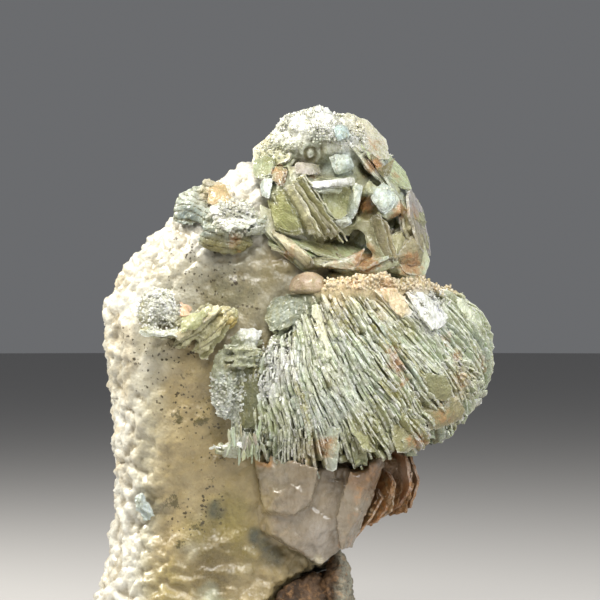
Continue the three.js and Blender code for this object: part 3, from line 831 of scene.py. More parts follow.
# The dark dab at (-5.6, -7.5, 38.4) is painted shadow on the quartz under the knob.
QUARTZ_DABS = [
    ((-12.4, -7, 40), 3.2, (0.42, 0.39, 0.29), 0.8), ((-16.6, -5, 31), 6, (0.48, 0.45, 0.35), 0.5),
    ((-5.6, -7.5, 38.4), 6, (0.15, 0.135, 0.065), 0.9), ((-1, -8, 40.5), 4.5, OLIVE_TAN_SHADOW, 0.95),
    ((-3, -8.5, 30), 7, OLIVE_TAN_SHADOW, 0.9), ((-6, -8.6, 26.5), 3.2, OLIVE_TAN_SHADOW, 0.5),
    ((-5.6, -8.6, 16), 3.4, MOSS, 0.9), ((-8.6, -9, 14), 2.8, MOSS, 0.7), ((-4.4, -8, 12.6), 2.6, MOSS, 0.7),
    ((-11.5, -9, 9.5), 3.6, MOSS, 0.5), ((-6.6, -8.6, 16.6), 1.3, INK, 0.95),
    ((-2.9, -8, 14.2), 1.4, INK, 0.95), ((-2, -8, 13.2), 1.3, INK, 0.9), ((-1.4, -8, 12), 1.5, INK, 0.8),
    ((-12.6, -8, 16.6), 1.5, INK, 0.4), ((-8, -8.6, 5), 5, (0.24, 0.2, 0.1), 0.9),
    ((-7, -9, 11.4), 4.4, (0.1, 0.075, 0.025), 0.85), ((-9.4, -9, 12.6), 1.6, OFF_WHITE, 0.6),
    ((-7.6, -9, 8.4), 1.6, (0.42, 0.45, 0.33), 0.7),
]


def quartz_calm(p):
    """How smooth the quartz is: 1 in the tan zone low on the front, 0 at the sides and on top."""
    front = soft(-p.y, 3.0, 8.0)
    inner = soft(p.x + 0.22 * (p.z - 20), -15.0, -11.0)
    return front * inner * (1 - soft(p.z, 36, 44)) * (0.4 + 0.6 * soft(p.z, 10, 16))


def quartz_tint(p):
    # Painted light and shade: the milky white at the top and sides stands partly for the lamp high on the
    # left, and the tan low on the front is partly painted shade and partly the quartz's own warm colour.
    tan_and_shade = soft(-p.y, 0, 7) * soft(p.x, -17.0, -10.0) * (1 - soft(p.z, 27, 44))
    tan_and_shade = min(1.0, max(0.0, tan_and_shade + 0.25 * rough_wave(p, 0.25, 21)))
    colour = blend(MILK, OFF_WHITE, soft(tan_and_shade, 0.0, 0.5))
    colour = blend(colour, TAN, soft(tan_and_shade, 0.35, 1.0))
    beads = soft(-p.x - 0.2 * abs(p.z - 30), 12.0, 16.0) * soft(wave(p, 0.6, 23), -0.2, 0.4)
    colour = blend(colour, (0.66, 0.55, 0.36), 0.6 * beads)
    mottled = 1 + 0.22 * rough_wave(p, 0.8, 24)
    return tuple(c * mottled for c in dabbed(p, colour, QUARTZ_DABS))


# %% Quartz skin
def shape_quartz():
    skin = skin_of("quartz_finger", QUARTZ_VOXEL, smoothings=5)
    masks = masks_of(skin)
    for v in skin.verts:
        p = v.co.copy()
        calm = quartz_calm(p)
        bent = p + Vector((wave(p, 0.5, 2), wave(p, 0.5, 3), wave(p, 0.5, 4))) * 0.5
        tops = [domes(bent, size) for size, _ in QUARTZ_BUMPS]
        height = sum(rise * (top - 0.55) for top, (_, rise) in zip(tops, QUARTZ_BUMPS))
        height = height * (1 - 0.72 * calm) + 0.14 * rough_wave(p, 0.5, 7)
        v.co = p + v.normal * height * soft(p.z, 0.0, 1.2)
        # The deep mask is painted shade in the creases between the bumps, weaker on the calm front.
        v[masks["deep"]] = (1 - tops[0]) * (1 - tops[1]) * (0.9 - 0.6 * calm)
        v[masks["specks"]] = spots_sum(p, SPECK_SPOTS)
        v[masks["dendrites"]] = spots_sum(p, DENDRITES)
        v[masks["stain"]] = 0.3 * soft(wave(p, 0.12, 3), 0.1, 0.6) * soft(p.y, -2, 4)
    paint(skin, quartz_tint)
    return skin


finish_piece("quartz_skin", shape_quartz(), quartz_finish, "quartz_finger", smooth=True)

# %% [markdown]
# ## The fan
# The fan is a book of calcite leaves standing open round the finger's right side. From the front we look
# straight at their free edges, a fraction of a millimetre apart, broken off at different heights and
# depths. A bumpy sheet could imitate that, but it has no real gaps. So every blade is a thin sheet of its
# own, set in a smooth outer form: a ridge curve on top, a hem curve below, and a bulge between them. Short
# blades and chips lie between and over the long ones, and a few broad faces lie over them all.

# %% Fan colours
SAGE = (0.48, 0.56, 0.36)
BLUE_GREY = (0.53, 0.61, 0.48)
PALE_LEAF = (0.8, 0.85, 0.64)
OLIVE_LEAF = (0.38, 0.37, 0.17)
SUGAR = (0.86, 0.88, 0.84)
CREAM = (0.78, 0.7, 0.47)
BUFF = (0.62, 0.45, 0.24)
FAN_SHADE = 0.42
FAN_SHADE_HEIGHTS = (22, 29)
FAN_DABS = [
    ((-0.6, -10, 36), 3, (0.36, 0.4, 0.33), 0.9), ((-0.5, -11, 31), 2.6, SUGAR, 0.95),
    ((-2, -11, 28.5), 1.6, SUGAR, 0.9), ((-1.4, -11, 25.8), 2.4, (0.66, 0.72, 0.46), 0.6),
    ((3.4, -12, 34.5), 2.2, CREAM, 0.5), ((5, -11, 38.5), 3.2, (0.9, 0.72, 0.44), 0.75),
    ((9.6, -11, 37.4), 2.8, (0.92, 0.72, 0.46), 0.85), ((7, -12, 31), 3, BLUE_GREY, 0.8),
    ((4.5, -12, 26.5), 3, (0.55, 0.63, 0.58), 0.7), ((11.5, -11, 34.5), 1.8, OLIVE_LEAF, 0.9),
    # The white dab at (13.6, -9, 36) is partly sugary crust and partly a painted highlight on a glossy
    # plate.
    ((13.6, -9, 36), 2.8, SUGAR, 0.9), ((17.8, -3, 36), 2.8, PALE_LEAF, 0.9),
    # The olive and dark brown dabs at (8, -12, 24) and (14.6, -8, 27.2) are painted shade at the fan's foot.
    ((8, -12, 24), 4.5, OLIVE_LEAF, 0.75), ((14.6, -8, 27.2), 3.8, (0.28, 0.26, 0.13), 0.85),
    ((17, -5, 29), 2.4, BUFF, 0.5), ((2, -11, 22), 2.6, BUFF, 0.45),
]
FAN_RUST = [
    ((9.4, -10.6, 38.2), 1.8, 0.45), ((9.8, -12, 32.4), 1.2, 0.7), ((10.4, -12, 30.9), 1.5, 0.8),
    ((11.1, -11.5, 29.4), 1.2, 0.6), ((15.4, -7.4, 33.2), 1.2, 0.6), ((16.2, -6.8, 31.4), 1.4, 0.7),
    ((17, -6.2, 29.4), 1.4, 0.7), ((15, -7.4, 26), 2, 0.6), ((3.6, -11, 23), 2, 0.7),
    ((12.6, -9.6, 23.5), 2, 0.6), ((19, -2, 31), 2, 0.5), ((6.5, -11, 38.6), 2.2, 0.4),
    ((2, -11, 20.8), 1.6, 0.5),
]


def fan_light(p):
    """The fan falls into shade towards its foot."""
    return 1 - FAN_SHADE * (1 - soft(p.z + 0.15 * p.x, *FAN_SHADE_HEIGHTS))


def finish_fan(bm):
    return dress(bm, FAN_DABS, FAN_RUST, fan_light)


# %% The fan's outer form
FAN_HEART = Vector((4.4, 0.5, 30.0))
FAN_RIDGE = [
    (-2.2, -8.8, 33.6), (-0.4, -9.6, 36.2), (1.6, -10.2, 37.6), (3.4, -10.7, 38.2), (5.4, -11, 38.5),
    (7.8, -10.7, 38.7), (10.4, -9.6, 38.7), (13, -7.6, 38.6), (15.8, -4.4, 38.3), (17.9, -0.4, 37.8),
    (16.4, 4.2, 37.2), (11, 7.6, 37.4), (5, 9.2, 37.2),
]
FAN_HEM = [
    (-4, -8.8, 22.6), (-1.2, -9.7, 20.6), (2, -10.5, 20.3), (5.6, -11, 20.5), (9.2, -10.7, 20.8),
    (12.4, -9.4, 21.4), (15, -7.4, 22.8), (17.2, -4.8, 24.8), (19, -1.6, 26.6), (19.4, 1.8, 27.2),
    (17.4, 5.4, 26), (11.6, 8.8, 23.6), (5, 9.8, 22.8),
]
FAN_BULGE = 0.13


def along(points, t):
    """A point of the smooth curve through the points, at t from 0 to 1."""
    t = min(0.9999, max(0.0, t)) * (len(points) - 1)
    k = int(t)
    s = t - k
    p = [Vector(points[min(len(points) - 1, max(0, k + j))]) for j in (-1, 0, 1, 2)]
    return 0.5 * (2 * p[1] + (p[2] - p[0]) * s + (2 * p[0] - 5 * p[1] + 4 * p[2] - p[3]) * s * s
                  + (3 * p[1] - p[0] - 3 * p[2] + p[3]) * s * s * s)


def fan_form(t, s):
    """A point of the fan's outer form, t of the way round and s of the way down, and the way out there."""
    t += 0.014 * noise.noise(Vector((t * 11, s * 3.4, 7)))
    top = along(FAN_RIDGE, t)
    hem = along(FAN_HEM, t)
    down = (hem - top).normalized()
    away = (top + hem) / 2 - FAN_HEART
    out = away - down * away.dot(down)
    bulge = 1 + FAN_BULGE * max(0.0, math.sin(math.pi * min(1, s))) ** 0.8
    fall = (top - FAN_HEART).dot(down) * (1 - s) + (hem - FAN_HEART).dot(down) * s
    return FAN_HEART + out * bulge + down * fall, out.normalized()


def fan_lean(t):
    """How far a blade's foot runs ahead of its head round the fan."""
    return 0.03 + 0.15 * soft(t, 0.02, 0.35) * (1 - soft(t, 0.55, 0.8))


def packet_of(t):
    """What the blades of one packet share: lift, lean, tint, and where their heads and feet lie."""
    dice = random.Random(int(t * 44 + 1.2 * noise.noise(Vector((t * 30, 3, 1)))) * 97 + 13)
    tints = (SAGE, BLUE_GREY, PALE_LEAF, PALE_LEAF, OLIVE_LEAF)
    bare = soft(t, -0.01, 0.02) * (1 - soft(t, 0.14, 0.2))
    return (dice.uniform(-0.45, 0.1), dice.uniform(0.7, 1.35), dice.choice(tints),
            dice.uniform(-0.01, 0.07) + 0.16 * bare, dice.uniform(0.86, 1.0))


# %% One fan blade
def add_blade(bm, t, span, seed, tint, lift=0.0, depth=3.0, thick=0.16, cells=(3, 28), swing=0.0):
    """A blade from span[0] to span[1] of the way down, lifted off the form and turned by the swing."""
    dice = random.Random(seed)
    lean = fan_lean(t) * packet_of(t)[1] * dice.uniform(0.85, 1.15)
    curl = dice.uniform(-0.3, 0.3)
    shade = dice.uniform(0.72, 1.12)

    def shape_at(x, y):
        u = (x / 2 + 0.5) ** 0.7
        share = y / 2 + 0.5
        s = span[0] + (span[1] - span[0]) * share
        edge, out = fan_form(t + lean * (s - 0.5), s)
        below, _ = fan_form(t + lean * (s - 0.48), s + 0.02)
        side = (below - edge).normalized().cross(out)
        tip = 1 - (abs(2 * share - 1)) ** 5
        proud = lift + 0.16 * rough_wave(Vector((s * 11, seed, 0)), 1.0, 3)
        proud += 0.12 * round(1.5 * noise.noise(Vector((s * 26, seed * 0.7, 4))))
        inward = depth * (1 - u) * (0.35 + 0.65 * tip)
        bend = swing * (1 - u) + curl * math.sin(2.6 * s + seed)
        bend += 0.1 * noise.noise(Vector((s * 7, u * 2, seed)))
        place = edge + out * (proud - inward - 0.7 * (1 - tip)) + side * bend
        # Painted shade and highlight: deep darkens the blade's inner part, between its neighbours, and the
        # rim on its free edge is frosted white with a painted highlight.
        return place, soft(u, 0.84, 1.0), 1 - soft(u, 0.35, 0.9)

    add_to(bm, thin_sheet(cells, thick, [c * shade for c in tint], shape_at))


front_height = (fan_form(0.3, 0)[0] - fan_form(0.3, 1)[0]).length
print("one fan blade runs", round(front_height, 1), "mm down the front")

# %% Fan blades
GOLDEN = 0.618034
FRONT_LONG = 100
FRONT_SHORT = 430
FRONT_CHIPS = 760
FRONT_REACH = 0.58
CHIP_REACH = 0.6
SIDE_LONG = 34
SIDE_SHORT = 120
SIDE_FROM = 0.53
SIDE_REACH = 0.28
BACK_LONG = 46
BACK_FROM = 0.8
BACK_REACH = 0.2
SLAB = [(-1.8, 37.4, -0.1), (2.8, 37.9, 0), (2.3, 35, 0), (-2.3, 33.6, -0.1)]
SLAB_TINT = (0.15, 0.175, 0.12)
FACE_LIFT = 0.35
FAN_FACES = [
    # The first, white face is partly sugary crust and partly a painted highlight on a glossy plate.
    ([(11, 37.9, 0.1), (13, 38, 0.1), (15.9, 35.2, 0.2), (14, 33.8, 0.1)], 0.3, 0.3, SUGAR, 61),
    ([(8.4, 38, 0), (10.4, 38.2, 0), (12.2, 35.7, 0.1), (11, 35, 0.1)], 0.3, 0.3, (0.9, 0.74, 0.5), 71),
    ([(16.4, 37.3, 0), (17.5, 37, 0), (19, 34.8, 0), (18, 34, 0.1)], 0.3, 0.3, PALE_LEAF, 62),
    ([(2.1, 36.4, 0.1), (2.9, 36.7, 0.1), (4.6, 31.8, 0.2), (4.1, 31.4, 0.1)],
     0.3, 0.2, (0.8, 0.84, 0.64), 63),
    # The three dark olive-brown faces below are partly their own colour and partly painted shade at the
    # fan's foot.
    ([(12.4, 30, 0.1), (15.4, 29.8, 0.2), (16, 27.4, 0.2), (12.8, 27.2, 0.1)],
     0.3, 0.2, (0.26, 0.28, 0.15), 64),
    ([(12.8, 27, 0.2), (16.6, 28, 0.1), (17.4, 25.4, 0), (13.6, 24.2, 0.2)],
     0.3, 0.5, (0.32, 0.27, 0.16), 65),
    ([(9.6, 25.2, 0.1), (12.6, 26.4, 0.2), (13.4, 23.4, 0.2), (10.6, 22, 0.1)],
     0.3, 0.5, (0.4, 0.38, 0.23), 66),
    ([(4.8, 27.2, 0.1), (7.2, 26.9, 0.1), (9.6, 22.8, 0.3), (7.4, 22.3, 0.3)],
     0.3, 0.4, (0.56, 0.6, 0.4), 67),
    ([(3.4, 25, 0.2), (4.9, 25, 0.2), (4.7, 20.6, 0.4), (3.5, 20.8, 0.3)], 0.3, 0.3, (0.72, 0.78, 0.66), 68),
    ([(-1.6, 23.8, 0.1), (1, 24, 0.2), (1.3, 20.8, 0.3), (-2.2, 21.2, 0.2)],
     0.3, 0.3, (0.54, 0.6, 0.44), 69),
    ([(5.8, 33.8, 0.2), (7.6, 33.6, 0.2), (8.6, 29.8, 0.2), (7, 29.6, 0.1)],
     0.25, 0.2, (0.62, 0.76, 0.68), 70),
]


def strewn(k):
    """The k-th of many places from 0 to 1, evenly spread but in no visible order."""
    return (k * GOLDEN) % 1


def shape_fan_front():
    """The long blades in their packets, then the short broken ones that lie between and over them."""
    bm = new_mesh()
    dice = random.Random(77)
    for k in range(FRONT_LONG):
        t = (k + dice.random()) / FRONT_LONG * FRONT_REACH
        lift, _, tint, head, foot = packet_of(t)
        span = (head + dice.uniform(-0.02, 0.03), foot + dice.uniform(-0.05, 0.02))
        add_blade(bm, t, span, 1000 + k, tint, lift=lift - dice.uniform(0.0, 0.3),
                  thick=dice.uniform(0.12, 0.28), swing=dice.uniform(-0.3, 0.3))
    for k in range(FRONT_SHORT):
        t = strewn(k) * FRONT_REACH
        lift, _, tint, head, foot = packet_of(t)
        start = head + (foot - head) * dice.uniform(0.0, 0.88)
        span = (start, min(1.02, start + dice.uniform(0.08, 0.24)))
        add_blade(bm, t, span, 2000 + k, dice.choice((tint, tint, SAGE)),
                  lift=lift + dice.uniform(-0.15, 0.3), depth=1.6, thick=dice.uniform(0.12, 0.34),
                  cells=(3, 9), swing=dice.uniform(-0.9, 0.9))
    for k in range(FRONT_CHIPS):
        t = strewn(k) * CHIP_REACH
        lift, _, tint, head, foot = packet_of(t)
        start = head + (foot - head) * dice.uniform(0.0, 0.97)
        span = (start, start + dice.uniform(0.03, 0.09))
        add_blade(bm, t, span, 6000 + k, dice.choice((tint, PALE_LEAF, SUGAR)),
                  lift=lift + dice.uniform(-0.1, 0.3), depth=0.9, thick=dice.uniform(0.07, 0.18),
                  cells=(2, 4), swing=dice.uniform(-0.8, 0.8))
    for corners, thickness, bow, tint, seed in FAN_FACES:
        raised = [(x, z, lift + FACE_LIFT) for x, z, lift in corners]
        add_patch(bm, corners_on("calcite_fan", raised), thickness, seed, tint, bow=bow, ragged=0.2,
                  cells=(14, 20), round_by=0.4, rim=0.9, rim_from=0.75, ripple=0.1)
    add_patch(bm, corners_on("calcite_fan", SLAB), 0.5, 9, SLAB_TINT, bow=0.35, ragged=0.2, cells=(30, 24),
              round_by=0.6, rim=0.1, ripple=0.16)
    return finish_fan(bm)


def shape_fan_side():
    """The broader leaves that turn their faces to the front on the right, and the ones behind."""
    bm = new_mesh()
    dice = random.Random(78)
    for k in range(SIDE_LONG):
        t = SIDE_FROM + (k + 0.8 * dice.random()) / SIDE_LONG * SIDE_REACH
        span = (dice.uniform(0.0, 0.12), dice.uniform(0.75, 1.0))
        add_blade(bm, t, span, 3000 + k, dice.choice((SAGE, PALE_LEAF, PALE_LEAF, BLUE_GREY)),
                  lift=dice.uniform(-0.9, 0.0), depth=4.0, thick=dice.uniform(0.2, 0.4), cells=(6, 30),
                  swing=dice.uniform(-0.8, 0.8))
    for k in range(SIDE_SHORT):
        t = 0.5 + strewn(k) * 0.5
        start = dice.uniform(0.0, 0.75)
        span = (start, min(1.03, start + dice.uniform(0.2, 0.5)))
        add_blade(bm, t, span, 4000 + k, dice.choice((SAGE, BLUE_GREY, PALE_LEAF)),
                  lift=dice.uniform(-0.4, 0.15), depth=2.0, thick=dice.uniform(0.12, 0.3), cells=(3, 14),
                  swing=dice.uniform(-0.8, 0.8))
    for k in range(BACK_LONG):
        t = BACK_FROM + (k + 0.8 * dice.random()) / BACK_LONG * BACK_REACH
        add_blade(bm, t, (dice.uniform(0, 0.1), dice.uniform(0.85, 1.0)), 5000 + k, SAGE,
                  lift=dice.uniform(-0.6, 0.0), thick=dice.uniform(0.14, 0.3))
    return finish_fan(bm)


BUTTON = Vector((2.05, -9.7, 38.0))
FRAME_BUTTON = Vector((0.6, -9.4, 38.7))
BUTTON_FOOT = Vector((1.8, -8.2, 37.6))
CORE_INSET = 1.15
RIM_GRAINS = 1100


def sugary_rim(p):
    return soft(p.z, 37.6, 38.6) * soft(p.x, 3.0, 4.5) * soft(-p.y, 2, 6)


def shape_fan_core():
    """The body behind the blades. It comes out to the frame's solid along the top."""
    core = skin_of("calcite_fan", 0.42, smoothings=1)
    masks = masks_of(core)
    for v in core.verts:
        p = v.co.copy()
        bare = soft(p.z, 36.2, 38.2)
        v.co -= v.normal * (CORE_INSET * (1 - bare) - (0.22 + 0.03 * bare) * rough_wave(p, 1.4, 5))
        v.co += v.normal * 0.4 * bare * domes(p, 0.7)
        v.co.z += 0.9 * spot(p, (8.4, -6, 38.6), 4.0) * bare
        v.co = v.co.lerp(BUTTON_FOOT, 0.8 * (1 - soft((p - FRAME_BUTTON).length, 1.7, 2.6)))
        # Painted shade: deep darkens the body behind the blades, below its bare top.
        v[masks["deep"]] = 0.25 * (1 - bare)
        v[masks["rim"]] = 0.4 * bare
    paint(core, lambda p: blend((0.58, 0.64, 0.46), (0.6, 0.46, 0.26), soft(p.z, 36.6, 38.2)))
    core.normal_update()
    rim = scatter(core, RIM_GRAINS, 45, sugary_rim)
    add_grains(core, rim, (0.1, 0.3), 46, ((0.72, 0.54, 0.3), (0.94, 0.82, 0.58)))
    return finish_fan(core)


def shape_button():
    """The round brown knob at the fan's upper left: half a ball, with fine rays from its foot."""
    ball = new_mesh()
    bmesh.ops.create_icosphere(ball, subdivisions=5, radius=1.0)
    masks = masks_of(ball)
    for v in ball.verts:
        p = v.co.copy()
        angle = math.atan2(p.x, p.z + 0.4)
        rays = noise.noise(Vector((angle * 6, p.y * 1.5, 2)))
        rays += 0.5 * noise.noise(Vector((angle * 14, p.y * 3, 4)))
        size = 1 + 0.035 * rays + 0.05 * rough_wave(p, 1.2, 3)
        # Painted shade: deep darkens the underside of the button and the grooves between its rays.
        v[masks["deep"]] = 0.35 * soft(-p.z, -0.2, 0.1) + 0.2 * soft(rays, 0.0, -0.6)
        v.co = BUTTON + Vector((p.x * 1.95, p.y * 1.3, (p.z if p.z > 0 else 0.3 * p.z) * 1.7)) * size
    paint(ball, lambda p: blend((0.4, 0.29, 0.2), (0.56, 0.43, 0.3), soft(wave(p, 0.9, 2), -0.2, 0.5)))
    return ball


finish_piece("fan_button", shape_button(), blade_finish, smooth=True)
finish_piece("fan_leaves", shape_fan_front(), blade_finish, "calcite_fan")
finish_piece("fan_side_leaves", shape_fan_side(), blade_finish)
finish_piece("fan_core", shape_fan_core(), blade_finish, smooth=True)

# %% [markdown]
# ## The rosette
# The crown is built like a cabbage: plates in small books round a lumpy heart, with hollows between them.
# The heart is the frame's own solid drawn in a little, with the hollows pressed into it. The plates could
# be spread by a rule like the fan's blades, but here every one has its own size and turn in the photograph,
# so they are placed one by one. Corners are given as seen from the front, and the depth is looked up on the
# frame's solid.

# %% Rosette colours
CLAY = (0.2, 0.085, 0.022)
GREY_OLIVE = (0.26, 0.235, 0.14)
ICE = (0.6, 0.69, 0.63)
PINK_GREY = (0.5, 0.44, 0.38)
ROSETTE_DABS = [
    ((2.6, -5, 51.4), 2.8, (0.42, 0.46, 0.38), 0.85), ((1.4, -5, 49.9), 1.7, PINK_GREY, 0.9),
    ((3.4, -5, 49.6), 1.6, (0.2, 0.19, 0.13), 0.8), ((5.3, -5, 50.3), 2, ICE, 0.9),
    ((5.2, -5, 53.2), 0.9, (0.46, 0.6, 0.6), 0.9), ((-1.6, -4, 50.6), 3, (0.21, 0.23, 0.12), 0.95),
    ((-1.2, -5, 48.6), 1.4, ICE, 0.8), ((5.2, -5, 46.6), 2.4, (0.29, 0.3, 0.13), 0.9),
    ((9.4, -5, 46.8), 1.8, ICE, 0.9), ((3.5, -6, 42.4), 3.4, (0.16, 0.13, 0.055), 0.9),
    ((7.2, -5, 45.6), 1.5, (0.14, 0.08, 0.035), 0.9), ((8.4, -6, 43.6), 2.4, GREY_OLIVE, 0.8),
    ((12, -4, 43), 3, (0.36, 0.31, 0.18), 0.85), ((7.4, -4, 54.6), 2.2, CREAM, 0.6),
    ((-2, -7, 41.8), 2.6, OLIVE_LEAF, 0.7),
]
ROSETTE_RUST = [
    ((8.3, -5, 50.2), 1.6, 0.9), ((7.7, -5, 46.4), 1.7, 0.9), ((10.8, -5.5, 45.6), 1.6, 0.8),
    ((12.4, -3, 45.6), 1.6, 0.5), ((7.6, -7.5, 40.6), 2.6, 0.8), ((12, -4, 40.4), 2.4, 0.8),
    ((-0.7, -5.5, 49.3), 1.3, 0.9), ((2.4, -5.4, 48.8), 1.3, 0.6), ((10.2, -2, 48.8), 1.5, 0.8),
    ((8.6, -3, 52.6), 1.8, 0.5), ((0, -8, 41.2), 2, 0.5), ((4.4, -7, 40.4), 2.2, 0.4),
]
ROSETTE_HOLLOWS = [
    ((5.2, 46.7), 2, 1.3), ((7.6, 46), 1.4, 1.5), ((8.2, 50.2), 1.4, 1.4), ((3, 43.2), 2.8, 1.1),
    ((10.6, 44.4), 1.2, 0.8), ((3.6, 49.8), 1, 0.5), ((12, 42.6), 1.6, 0.5),
]


def pressed_in(p):
    """How deep the hollows of the rosette's front go at a point, in mm."""
    front = soft(-p.y, 0.0, 3.0)
    deepest = 0.0
    for (x, z), radius, depth in ROSETTE_HOLLOWS:
        share = math.hypot(p.x - x, p.z - z) / radius
        deepest = max(deepest, depth * (1 - soft(share, 0.55, 1.0)))
    return deepest * front


def finish_rosette(bm):
    return dress(bm, ROSETTE_DABS, ROSETTE_RUST)


# %% Rosette heart
HEART_TINT = (0.42, 0.43, 0.28)
RINGS = Vector((2.2, -5, 51.3))
RING_STEP = 9


def shape_rosette_heart():
    heart = skin_of("calcite_rosette", 0.2, smoothings=3, inset=0.3)
    masks = masks_of(heart)
    for v in heart.verts:
        p = v.co.copy()
        crown = soft(p.z + 0.4 * wave(p, 0.6, 2), 50.2, 52.0)
        sunk = pressed_in(p)
        rise = crown * (0.45 * domes(p, 2.0) + 0.3 * domes(p, 0.7) - 0.35) + 0.14 * rough_wave(p, 1.3, 8)
        v.co += v.normal * (rise + 0.3 * soft(41.5 - p.z, 0, 1))
        v.co.y += sunk
        ring = 0.5 + 0.5 * math.sin(RING_STEP * (p - RINGS).xz.length)
        rings = spot(p, RINGS, 1.9)
        v.co += v.normal * 0.24 * rings * ring
        # Painted shade: deep darkens the hollows pressed into the front, the creases of the crown and the
        # grooves between the rings.
        deep = 0.1 * (1 - crown) + 0.45 * soft(sunk, 0.3, 1.4) + 0.5 * crown * (1 - domes(p, 0.7))
        v[masks["deep"]] = deep + 0.9 * rings * (1 - ring)
        v[masks["rim"]] = 0.6 * crown * (1 - rings) + 0.9 * rings * ring
    paint(heart, lambda p: blend(HEART_TINT, SUGAR, soft(p.z + 2.5 * wave(p, 0.5, 4), 48.5, 54.0)))
    return finish_rosette(heart)


finish_piece("rosette_heart", shape_rosette_heart(), blade_finish, "calcite_rosette",
             smooth=True)

# %% Rosette books
BOOK_TINT = (0.66, 0.68, 0.5)
ROSETTE_BOOKS = [
    ((-1, -3.2, 51.4), (5.8, 5.4, 1.3), 36, 46, 12), ((7, -2.4, 52.6), (6.6, 6.4, 1.3), -44, 58, 13),
    ((9, -1.6, 50.8), (8.6, 9.2, 1.2), -50, 74, 14), ((11.2, -1.4, 47.6), (8.6, 9.8, 1.2), -57, 76, 15),
    ((12.6, -1.8, 44.2), (7.6, 9, 1.4), -72, 74, 16), ((11.6, -4.2, 41.5), (6.8, 5.6, 1.3), -80, 44, 17),
    ((2.8, -6, 42.4), (11.2, 7.4, 1.2), -16, 62, 22), ((-0.2, -7.2, 42.8), (8.4, 3, 1.1), -45, 24, 23),
    ((7.2, -5.2, 40.8), (8.2, 7, 1.4), 12, 70, 24), ((9, 3.6, 47.8), (9.6, 8.4, 1.4), -50, 114, 28),
    ((3.6, 5, 46), (9.6, 8.2, 1.4), -14, 160, 29), ((10.4, 4.2, 42.4), (8, 7, 1.4), -74, 120, 30),
    ((-1, 3.4, 49.6), (6.6, 6.4, 1.4), 26, 128, 31),
]


def shape_rosette_books():
    bm = new_mesh()
    for at, size, roll, tilt, seed in ROSETTE_BOOKS:
        add_book(bm, at, size, roll, tilt, seed, BOOK_TINT, sheets=4, deep=0.3, cells=(18, 14), rim=0.8)
    return finish_rosette(bm)


finish_piece("rosette_books", shape_rosette_books(), blade_finish)

